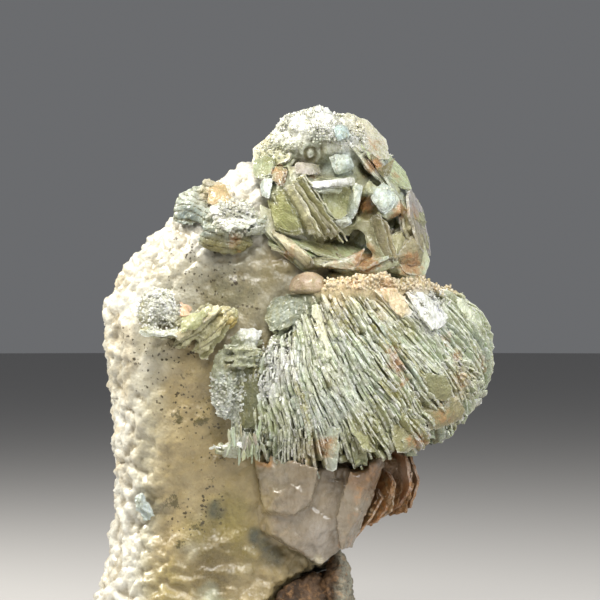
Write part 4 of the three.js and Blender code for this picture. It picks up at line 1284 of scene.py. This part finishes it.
# %% Rosette front plates
FRONT_PLATES = [
    # The first plate's dark olive is partly its own greenish colour and partly painted shade on that face.
    ([(-0.4, 47.9, 0.3), (-1.9, 46.7, 0.2), (-1.2, 43.6, 0.5), (1.7, 43.2, 0.2)],
     0.25, 0.4, (0.3, 0.31, 0.12), 1),
    ([(1.7, 48.3, 0.4), (6.4, 48.9, 0.5), (6.2, 48.1, 0.8), (2.4, 47.7, 0.7)], 0.2, 0.3, SUGAR, 2),
    ([(2.4, 48, 0.3), (5.6, 48, 0.4), (5.2, 47.3, 0.6), (2.8, 47.3, 0.5)], 0.12, 0.2, (0.62, 0.66, 0.52), 3),
    ([(6.3, 48.3, 0.2), (7.4, 48, 0.5), (6.5, 44.9, 0.5), (5.6, 45.1, 0.2)], 0.2, 0.3, ICE, 4),
    ([(2.9, 47.7, 0.1), (6.5, 48.2, 0.1), (6.3, 45, 0.1), (4.4, 44.4, 0.1)],
     0.2, -0.7, (0.44, 0.45, 0.26), 21),
    ([(4.5, 44.6, 0.1), (6.2, 45.3, 0.2), (6.3, 44.5, 0.5), (5.2, 43.9, 0.4)],
     0.2, 0.2, (0.72, 0.78, 0.7), 5),
    ([(8, 47, 0.1), (9.3, 48.6, 0.5), (10.8, 46.9, 0.5), (9.3, 45.2, 0.2)], 0.35, 0.3, ICE, 6),
    ([(7.9, 51.4, 0.3), (8.7, 51, 0.4), (9.6, 49, 0.4), (8.9, 49.2, -0.2)], 0.2, 0.1, GREY_OLIVE, 7),
    ([(7.9, 45, 0.1), (9, 45.4, 0.4), (10.4, 40.7, 0.5), (8.9, 40.6, 0)], 0.25, 0.2, GREY_OLIVE, 8),
    ([(8.9, 44.8, 0.3), (9.6, 44.6, 0.7), (10.6, 41, 0.6), (10.1, 40.9, 0.1)],
     0.16, 0.1, (0.42, 0.36, 0.22), 9),
    ([(9.7, 43, 0.2), (11.2, 43.9, 0.4), (11.6, 42.6, 0.2), (10.2, 40.6, 0.3)],
     0.2, 0.3, (0.48, 0.48, 0.27), 10),
    ([(10, 40.8, 0.4), (12, 43.2, 0.6), (13.6, 43.8, 0.2), (13.4, 40, 0.1)],
     0.25, 0.6, (0.42, 0.38, 0.23), 11),
    ([(-1.7, 43.6, 0.5), (-0.7, 43.9, 0), (2.6, 40.9, 0.3), (2, 39.9, 0.6)], 0.3, 0.2, CREAM, 12),
    ([(2.3, 40.4, 0.5), (6.4, 41.2, 0.5), (7.6, 42, 0.5), (6.6, 39.8, 0.4)], 0.3, 0.2, (0.7, 0.7, 0.55), 13),
    ([(0, 42.4, 0.2), (4.6, 42.2, -0.3), (5.4, 40.9, 0.2), (2.2, 40.6, 0.3)],
     0.2, -0.4, (0.2, 0.18, 0.09), 14),
    ([(-1.3, 50.2, 0.4), (-0.1, 49.6, 0.5), (-0.6, 48, 0.5), (-1.6, 48.6, 0.3)],
     0.3, 0.2, (0.33, 0.19, 0.1), 15),
    ([(0.8, 50.4, 0.2), (3.2, 50.2, 0.2), (3, 49.2, 0.4), (0.9, 49.2, 0.5)], 0.3, 0.3, PINK_GREY, 16),
    ([(4.2, 51.2, 0.3), (6, 51.4, 0.3), (6.6, 50, 0.5), (4.8, 49.2, 0.5)], 0.3, 0.4, ICE, 17),
    ([(4.5, 53.9, 0.35), (5.9, 54, 0.35), (6.1, 52.9, 0.45), (4.9, 52.4, 0.45)],
     0.2, 0.25, (0.5, 0.62, 0.6), 18),
    ([(-3.4, 50.8, 0.2), (-1.3, 51.2, 0.3), (-1.5, 49, 0.4), (-3.2, 48.8, 0.2)], 0.25, 0.3, SAGE, 19),
    ([(-2.4, 48.8, 0.3), (-1.4, 48.9, 0.4), (-1.8, 46.9, 0.4), (-2.6, 47.4, 0.2)],
     0.2, 0.2, (0.62, 0.72, 0.68), 20),
]
LONG_BLADES = 9
STACK_SHEETS = 3
SLENDER_UNDER = 1.3
BLADE_HEAD = ((-0.5, 47.8), (1.3, 49.0))
BLADE_FOOT = ((1.7, 43.0), (5.8, 42.5))


def add_stack(bm, corners, thickness, bow, tint, seed):
    """Sheets on one another. The lower ones are larger and painted darker, as shade under the sheet above,
    and show as steps round the top one.
    """
    middle = sum(corners, Vector()) / 4
    slender = min((corners[0] - corners[3]).length, (corners[0] - corners[1]).length) < SLENDER_UNDER
    dice = random.Random(seed * 17)
    for k in range(STACK_SHEETS):
        size = 0.9 + 0.09 * k
        shift = Vector((dice.uniform(-0.12, 0.12), 0.16 * k, dice.uniform(-0.12, 0.12)))
        # Painted shade: each lower sheet is darkened by 14 percent.
        own = [c * (1 - 0.14 * k) for c in tint]
        spread = [middle + (corner - middle) * size + shift for corner in corners]
        add_patch(bm, spread, thickness * 0.5, seed + 50 * k, own, bow=bow, ragged=0.14, cells=(19, 15),
                  round_by=0.35 if slender else 0.45, rim=0.9, rim_from=0.82, ripple=0.06)


def shape_front_plates():
    bm = new_mesh()
    for corners, thickness, bow, tint, seed in FRONT_PLATES:
        add_stack(bm, corners_on("calcite_rosette", corners), thickness, bow, tint, seed)
    dice = random.Random(5)
    for k in range(LONG_BLADES):
        share = (k + 0.25) / LONG_BLADES
        head = [a + (b - a) * share for a, b in zip(*BLADE_HEAD)]
        foot = [a + (b - a) * (share + dice.uniform(-0.04, 0.04)) for a, b in zip(*BLADE_FOOT)]
        width = dice.uniform(0.4, 0.75)
        high = 0.15 + 0.9 * share
        corners = [(head[0], head[1], high), (head[0] + width, head[1] + 0.1, high + 0.5),
                   (foot[0] + width, foot[1] + dice.uniform(-0.2, 0.9), high + 0.6),
                   (foot[0], foot[1] + dice.uniform(-0.2, 0.5), high - 0.1)]
        tint = ((0.27, 0.26, 0.12), (0.5, 0.48, 0.28), (0.74, 0.72, 0.52))[k % 3]
        add_patch(bm, corners_on("calcite_rosette", corners), dice.uniform(0.1, 0.2), 40 + k, tint, bow=0.12,
                  ragged=0.14, cells=(10, 40), rim=0.9, rim_from=0.62)
    return finish_rosette(bm)


finish_piece("rosette_front_plates", shape_front_plates(), blade_finish)

# %% [markdown]
# ## The small clusters
# Knob, tuft, small book and flake are the same mineral in handfuls. Their skins come from the frame's
# solids, with bands pressed into them where thin crystals lie on one another, and thin leaves go on top.

# %% Dressed skins
SKIN_ROUGH = 0.12
BANDS_PER_MM = 1.5


def dressed_skin(node, voxel, seed, tint, dabs=(), inset=0.15, deep=0.15, bands=0.0, band_way=(0, 0, 1),
                 bumps=0.14, bump_size=0.6, crust=None):
    """A frame solid's skin with bumps, roughness and, outside the crust, bands like edges of thin sheets."""
    skin = skin_of(node, voxel, smoothings=2, inset=inset)
    masks = masks_of(skin)
    way = Vector(band_way).normalized()
    for v in skin.verts:
        p = v.co.copy()
        lie = p.dot(way) * BANDS_PER_MM + wave(p, 0.35, seed)
        band = abs((lie % 1) - 0.5) * 2
        open_share = 1 - (spot(p, *crust) if crust else 0)
        rise = SKIN_ROUGH * rough_wave(p, 1.6, seed) + bumps * (domes(p, bump_size) - 0.5)
        v.co += v.normal * (rise - bands * open_share * (1 - soft(band, 0, 0.35)))
        # Painted shade: deep darkens the whole skin outside the crust a little, and the grooves between the
        # bands more.
        v[masks["deep"]] = open_share * (deep + (0.7 * (1 - soft(band, 0, 0.4)) if bands else 0))
        # The frosted white on faces that look up is partly a painted highlight where the light from above
        # falls.
        v[masks["rim"]] = 0.7 * soft(v.normal.z, 0.1, 0.8)
    paint(skin, lambda p: dabbed(p, tint, dabs))
    return skin


# %% Knob
KNOB_TINT = (0.46, 0.5, 0.43)
# The two dark olive dabs at z 41.7 and 41.9 are painted shade on the knob's underside.
KNOB_DABS = [
    ((-6.6, -4, 47.4), 2.6, (0.62, 0.47, 0.27), 0.95), ((-9.8, -8, 44), 3.4, (0.14, 0.19, 0.19), 1),
    ((-5.4, -9, 45.4), 2.2, (0.66, 0.66, 0.56), 0.9), ((-7, -8.5, 41.9), 2, (0.2, 0.17, 0.05), 1),
    ((-4.4, -8.5, 41.7), 2.2, (0.2, 0.17, 0.05), 1), ((-9.2, -8, 41.8), 1.1, (0.55, 0.5, 0.12), 0.9),
]
KNOB_RUST = [((-5.2, -8, 42.8), 1.4, 0.95)]
KNOB_CRUST = ((-5.2, -9, 45.2), 2.6)
KNOB_LEAVES = [
    ([(-7.9, 48.1, 0.1), (-6.3, 48.4, 0.1), (-4.8, 46.2, 0.3), (-7.8, 46.2, 0.3)],
     0.3, 0.3, (0.5, 0.37, 0.2), 31),
    ([(-7.6, 46.2, 0.2), (-3.6, 46, 0.3), (-3.2, 45.2, 0.6), (-7.4, 45.3, 0.5)], 0.3, 0.2, SUGAR, 32),
    ([(-7.2, 45.4, 0.3), (-2.8, 45.2, 0.4), (-3, 44.4, 0.7), (-6.8, 44.5, 0.6)], 0.25, 0.2, SUGAR, 33),
    ([(-6.4, 44.6, 0.3), (-3.4, 44.4, 0.3), (-3.6, 43.8, 0.6), (-6, 43.9, 0.6)],
     0.25, 0.2, (0.7, 0.74, 0.66), 34),
    ([(-4, 43.6, 0.4), (-2.2, 44.2, 0.3), (-2, 43.5, 0.4), (-3.9, 43, 0.5)],
     0.2, 0.2, (0.42, 0.44, 0.38), 35),
]


def add_leaves(bm, node, leaves):
    for corners, thickness, bow, tint, seed in leaves:
        add_patch(bm, corners_on(node, corners), thickness, seed, tint, bow=bow, ragged=0.24, cells=(26, 16),
                  round_by=0.3, rim=0.8)


def shape_knob():
    bm = new_mesh()
    add_to(bm, dressed_skin("shoulder_knob", 0.17, 5, KNOB_TINT, KNOB_DABS, bands=0.1,
                            band_way=(0.25, 0, 1), crust=KNOB_CRUST))
    add_crust(bm, dressed_skin("shoulder_knob", 0.3, 5, SUGAR, inset=-0.1), 420, 11,
              lambda p: spot(p, *KNOB_CRUST), (0.12, 0.34), ((0.56, 0.56, 0.46), (0.8, 0.8, 0.74)))
    add_leaves(bm, "shoulder_knob", KNOB_LEAVES)
    return dress(bm, (), KNOB_RUST)


finish_piece("shoulder_knob_crystals", shape_knob(), blade_finish, "shoulder_knob")

# %% Tuft
TUFT_TINT = (0.52, 0.5, 0.32)
TUFT_DABS = [
    ((-12.4, -9, 36.2), 2.6, SUGAR, 0.9), ((-9.8, -9.5, 36.5), 1, (0.62, 0.42, 0.28), 0.95),
    ((-9, -9.6, 34.6), 1.4, (0.34, 0.3, 0.16), 0.9), ((-5.6, -9.2, 34.8), 1.7, (0.52, 0.38, 0.1), 0.95),
    ((-12.6, -9, 34.4), 1.6, (0.48, 0.5, 0.43), 0.7),
]
TUFT_CRUST = (-12.6, -9.4, 36.4)
TUFT_LEAVES = [
    ([(-14.2, 34.2, 0.4), (-10.4, 34.2, 0.5), (-10.4, 33.5, 0.6), (-14, 33.6, 0.4)],
     0.15, 0.1, (0.62, 0.65, 0.58), 41),
    ([(-10.9, 33.6, 0.5), (-6.9, 36.6, 0.5), (-6.4, 36.2, 0.7), (-10.4, 33, 0.7)], 0.16, 0.1, CREAM, 42),
    ([(-8.6, 31.6, 0.4), (-5.2, 36.4, 0.4), (-4.6, 35.8, 0.6), (-7.8, 31.2, 0.6)],
     0.18, 0.2, (0.42, 0.4, 0.21), 43),
    ([(-10.4, 36.9, 0.3), (-9.2, 36.2, 0.4), (-9.4, 35.5, 0.5), (-10.3, 35.4, 0.5)],
     0.2, 0.2, (0.64, 0.42, 0.28), 45),
    ([(-10.2, 35.4, 0.2), (-7.4, 36.2, 0.2), (-8.4, 34.4, 0.5), (-10.2, 33.8, 0.5)],
     0.2, 0.3, (0.34, 0.35, 0.17), 46),
]


def shape_tuft():
    bm = new_mesh()
    add_to(bm, dressed_skin("leaf_tuft", 0.16, 6, TUFT_TINT, TUFT_DABS, bands=0.1, band_way=(-0.6, 0, 1),
                            crust=(TUFT_CRUST, 3.0)))
    add_crust(bm, dressed_skin("leaf_tuft", 0.3, 6, SUGAR, inset=-0.05), 460, 13,
              lambda p: spot(p, TUFT_CRUST, 3.2), (0.08, 0.24), ((0.78, 0.8, 0.74), (0.92, 0.92, 0.88)), 1.3)
    add_leaves(bm, "leaf_tuft", TUFT_LEAVES)
    return bm


finish_piece("leaf_tuft_crystals", shape_tuft(), blade_finish, "leaf_tuft")

# %% Small book and flake
SPLINTERS = 30
SPLINTER_TINT = (0.42, 0.45, 0.34)
FLAKE_TINT = (0.5, 0.57, 0.55)
FLAKE_DABS = [((-14.8, -7, 15.8), 0.8, SUGAR, 0.9)]
BOOK_DABS = [
    ((-3.2, -10, 33.6), 1.8, SUGAR, 0.95), ((-5.6, -10, 29), 2.2, (0.42, 0.47, 0.42), 0.9),
    ((-6.2, -10, 26), 2.2, (0.66, 0.7, 0.64), 0.9), ((-3.4, -10, 28.4), 2.2, OLIVE_LEAF, 0.8),
    ((-5.6, -10, 30.9), 0.7, CREAM, 0.95), ((-5, -10.5, 22.8), 1.8, SUGAR, 0.7),
]
BOOK_LEAVES = [
    ([(-4.6, 34.3, 0.1), (-2.4, 34.2, 0.1), (-2.4, 33.4, 0.4), (-4.5, 33.3, 0.4)], 0.25, 0.2, SUGAR, 51),
    ([(-5.6, 32.6, 0), (-2.2, 33.2, 0.1), (-2.4, 32.6, 0.4), (-5.8, 32, 0.4)],
     0.15, 0.1, (0.5, 0.53, 0.42), 52),
    ([(-6, 31.8, 0), (-2.6, 32.3, 0.1), (-2.8, 31.7, 0.4), (-6, 31.2, 0.4)],
     0.15, 0.1, (0.4, 0.42, 0.3), 53),
    ([(-4.8, 31.2, 0.1), (-1.7, 31.4, 0.3), (-2, 24.6, 0.5), (-4.6, 24.4, 0.4)],
     0.3, 0.7, (0.11, 0.115, 0.055), 54),
    ([(-7.5, 22.75, 0.6), (-4, 23.5, 0.7), (-3.9, 22.9, 0.6), (-7.4, 22.65, 0.5)], 0.12, 0.1, SUGAR, 55),
    ([(-5, 25.4, 0.2), (-3.4, 25.6, 0.4), (-3, 22.6, 0.6), (-4.8, 22.2, 0.4)],
     0.2, 0.3, (0.48, 0.5, 0.36), 56),
    ([(-6.6, 23, 0.3), (-4.6, 23, 0.4), (-5, 21.6, 0.5), (-6.4, 21.8, 0.3)],
     0.2, 0.2, (0.58, 0.62, 0.52), 57),
]


def shape_small_book():
    bm = new_mesh()
    book = dressed_skin("small_book", 0.16, 7, (0.4, 0.42, 0.3), BOOK_DABS, bumps=0.22, bump_size=0.5)
    column = scatter(book, 520, 8, lambda p: spot(p, (-5.6, -10.5, 27.6), 3.4))
    add_to(bm, book)
    add_grains(bm, column, (0.09, 0.24), 9, ((0.62, 0.67, 0.6), (0.8, 0.82, 0.74)), stretch=2.4)
    add_leaves(bm, "small_book", BOOK_LEAVES)
    dice = random.Random(31)
    for k in range(SPLINTERS):
        foot = Vector((dice.uniform(-5.6, -2.2), -10.7 - dice.uniform(0, 0.9), dice.uniform(21.9, 24.6)))
        size = (dice.uniform(1.2, 2.6), dice.uniform(0.25, 0.55), 0.1)
        add_plate(bm, foot, size, 90 + dice.uniform(-24, 24), dice.uniform(40, 85), 80 + k, SPLINTER_TINT,
                  cells=(10, 5), corners=5, rim=0.6)
    return bm


flake = dressed_skin("low_flake", 0.1, 9, FLAKE_TINT, FLAKE_DABS, inset=0.02)
finish_piece("small_book_crystals", shape_small_book(), blade_finish, "small_book")
finish_piece("low_flake_skin", flake, blade_finish, "low_flake")

# %% [markdown]
# ## Massive calcite, rusty plates and rock
# Under the fan the calcite is solid and glassy and ends in flat cleavage faces. On its right stand rusty
# plates, and below it a piece of brown host rock remains. Their skins carry the large steps as mesh and
# leave the finest grain to the shader.

# %% Massive calcite
SPAR_TINT = (0.31, 0.26, 0.19)
SPAR_DABS = [
    ((-1.4, -10, 20), 2.6, (0.38, 0.33, 0.24), 0.7), ((2, -10, 20.4), 2.4, (0.22, 0.18, 0.12), 0.6),
    ((3.2, -9, 14), 2.6, (0.37, 0.33, 0.28), 0.8), ((3, -8, 11.9), 0.9, CREAM, 0.8),
    ((5, -9, 21), 2.4, (0.28, 0.21, 0.14), 0.7), ((7.6, -8, 20.2), 2.8, (0.2, 0.1, 0.04), 0.9),
]


def spar_tint(p):
    seam = soft(-p.x + 0.8 * wave(p, 0.5, 15), 0.4, 3.0)
    return dabbed(p, blend(SPAR_TINT, TAN, seam), SPAR_DABS)


SPAR_RUST = [
    ((9.3, -7, 22.6), 1.8, 0.7), ((7.6, -7.5, 20.6), 1.7, 0.8), ((6.7, -7.6, 18.4), 1.6, 0.8),
    ((6.2, -7.6, 16), 1.6, 0.7), ((5.4, -7, 13.6), 1.5, 0.6), ((3.6, -9.5, 23.4), 2, 0.8),
    ((-2.4, -10.5, 21.6), 1.8, 0.6), ((0.6, -10, 22.6), 1.6, 0.5),
]


def shape_spar():
    """Broad flat faces, broken at odd angles. On the left the mass sinks into the quartz without a seam."""
    skin = skin_of("massive_calcite", 0.18, smoothings=3)
    masks = masks_of(skin)
    for v in skin.verts:
        p = v.co.copy()
        rise = 0.55 * facets(p, 2.6, 12) + 0.22 * facets(p, 0.9, 13) + 0.06 * rough_wave(p, 1.6, 12)
        v.co += v.normal * rise
        v.co.y += 1.7 * soft(-p.x + 0.9 * wave(p, 0.6, 14), -0.6, 4.2)
        v[masks["stain"]] = spots_sum(p, SPAR_RUST)
        # Painted shadow: deep darkens the spar where it runs in under the fan's foot.
        v[masks["deep"]] = 0.8 * spot(p, (4.6, -8.6, 23.2), 2.6)
        v[masks["rim"]] = 0.8 * soft(12.6 - p.z, 0, 0.8)
    paint(skin, spar_tint)
    return skin


finish_piece("spar_skin", shape_spar(), spar_finish, "massive_calcite", smooth=True)

# %% Rusty plates
RUST_BOOKS = [
    ((10.3, -3.6, 19), (7.4, 6.2, 1.3), 86, 52, 91), ((8.6, -5.4, 17.6), (6.4, 4.8, 1), 64, 46, 92),
    ((6.9, -6.2, 16.4), (6.6, 4, 1), 58, 60, 93), ((9, -1.4, 16.6), (4.8, 6.6, 1.1), 24, 82, 94),
    ((7.4, 0.6, 17.8), (6.6, 6, 1.1), 70, 104, 95),
]
RUST_DABS = [((11.4, -4, 20.0), 1.7, (0.6, 0.44, 0.32), 0.9), ((8.4, -6, 19.6), 1.6, (0.1, 0.05, 0.02), 0.9),
             ((6.6, -7, 16.8), 2.0, (0.46, 0.38, 0.22), 0.8)]


def shape_rust():
    bm = new_mesh()
    for at, size, roll, tilt, seed in RUST_BOOKS:
        add_book(bm, at, size, roll, tilt, seed, CLAY, sheets=3, deep=0.4)
    add_to(bm, dressed_skin("rusty_plates", 0.2, 10, (0.22, 0.13, 0.06), inset=0.25, deep=0.4, bumps=0.2))
    masks = masks_of(bm)
    layer = tint_layer(bm)
    for v in bm.verts:
        v[layer] = (*dabbed(v.co, tuple(v[layer])[:3], RUST_DABS), 1)
        v[masks["stain"]] = 0.35 + 0.45 * wave(v.co, 0.4, 14)
    return bm


finish_piece("rust_plates", shape_rust(), rusty_finish, "rusty_plates")

# %% Rock
ROCK_BROWN = (0.046, 0.026, 0.012)
ROCK_RIM = (0.34, 0.33, 0.25)


def rock_tint(p):
    rim = soft(p.x + 0.5 * wave(p, 0.8, 17), 4.2, 5.4) * soft(p.z + wave(p, 0.6, 18), 1.5, 4.5)
    return blend(blend(ROCK_BROWN, (0.16, 0.095, 0.05), soft(wave(p, 0.5, 19), 0.0, 0.5)), ROCK_RIM, rim)


def shape_rock():
    skin = skin_of("rock_matrix", 0.2, smoothings=2)
    masks = masks_of(skin)
    for v in skin.verts:
        p = v.co.copy()
        settled = soft(p.z, 0.0, 0.8)
        v.co += v.normal * settled * (0.4 * rough_wave(p, 0.7, 15) + 0.2 * rough_wave(p, 2.2, 16))
        v[masks["stain"]] = 0.3
        v[masks["deep"]] = 0.4 * soft(rough_wave(p, 0.9, 20), 0.0, -0.6)
    paint(skin, rock_tint)
    return skin


finish_piece("rock_skin", shape_rock(), rock_finish, "rock_matrix", smooth=True)

# %% [markdown]
# ## Sugar on the edges
# Where the calcite was broken or weathered, the surface is a crust of grains. They are one joined mesh for
# each cluster, and they lie only on the sugary parts: the fan's white patch and right end, and the
# rosette's crown. The fan's top rim, the knob, the tuft and the small book already have theirs.

# %% Sugar grains
def sugary_fan(p):
    white = spot(p, (-0.5, -11, 31.5), 2.4) + spot(p, (-2.2, -11, 28.6), 1.4)
    right = spot(p, (14.0, -9, 37.6), 2.6) + 0.5 * soft(p.z, 37.4, 38.4) * soft(p.x, 10, 13)
    return min(1.0, white + 0.7 * right)


def sugary_crown(p):
    crown = soft(p.z, 51.2, 53.4) * soft(wave(p, 0.45, 22), -0.15, 0.2)
    return min(1.0, crown + 0.9 * spot(p, (9.4, -5, 46.8), 1.6) + 0.5 * spot(p, (-2.0, -4, 52.0), 2.4))


def shape_sugar(node, count, seed, where, tints):
    bm = new_mesh()
    add_crust(bm, skin_of(node, 0.3, smoothings=2, inset=0.1), count, seed, where, (0.08, 0.24), tints)
    return bm


fan_sugar = shape_sugar("calcite_fan", 900, 41, sugary_fan, ((0.8, 0.8, 0.7), (0.9, 0.91, 0.88)))
crown_sugar = shape_sugar("calcite_rosette", 1500, 43, sugary_crown, ((0.66, 0.68, 0.58), (0.9, 0.9, 0.84)))
finish_piece("fan_grains", finish_fan(fan_sugar), blade_finish)
finish_piece("crown_grains", finish_rosette(crown_sugar), blade_finish)

# %% [markdown]
# ## Sizes
# The dressed stone may stand out a little past the frame's box, so how far it passes at each end of
# every axis is printed.

# %% Write the sizes and finish
print("total:", sum(triangles.values()), "triangles in", len(triangles), "pieces")
visual_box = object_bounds()
for axis in range(3):
    past = [round((visual_box[end][axis] - cad_box[end][axis]) / MM, 2) for end in (0, 1)]
    print("XYZ"[axis], past, "mm")
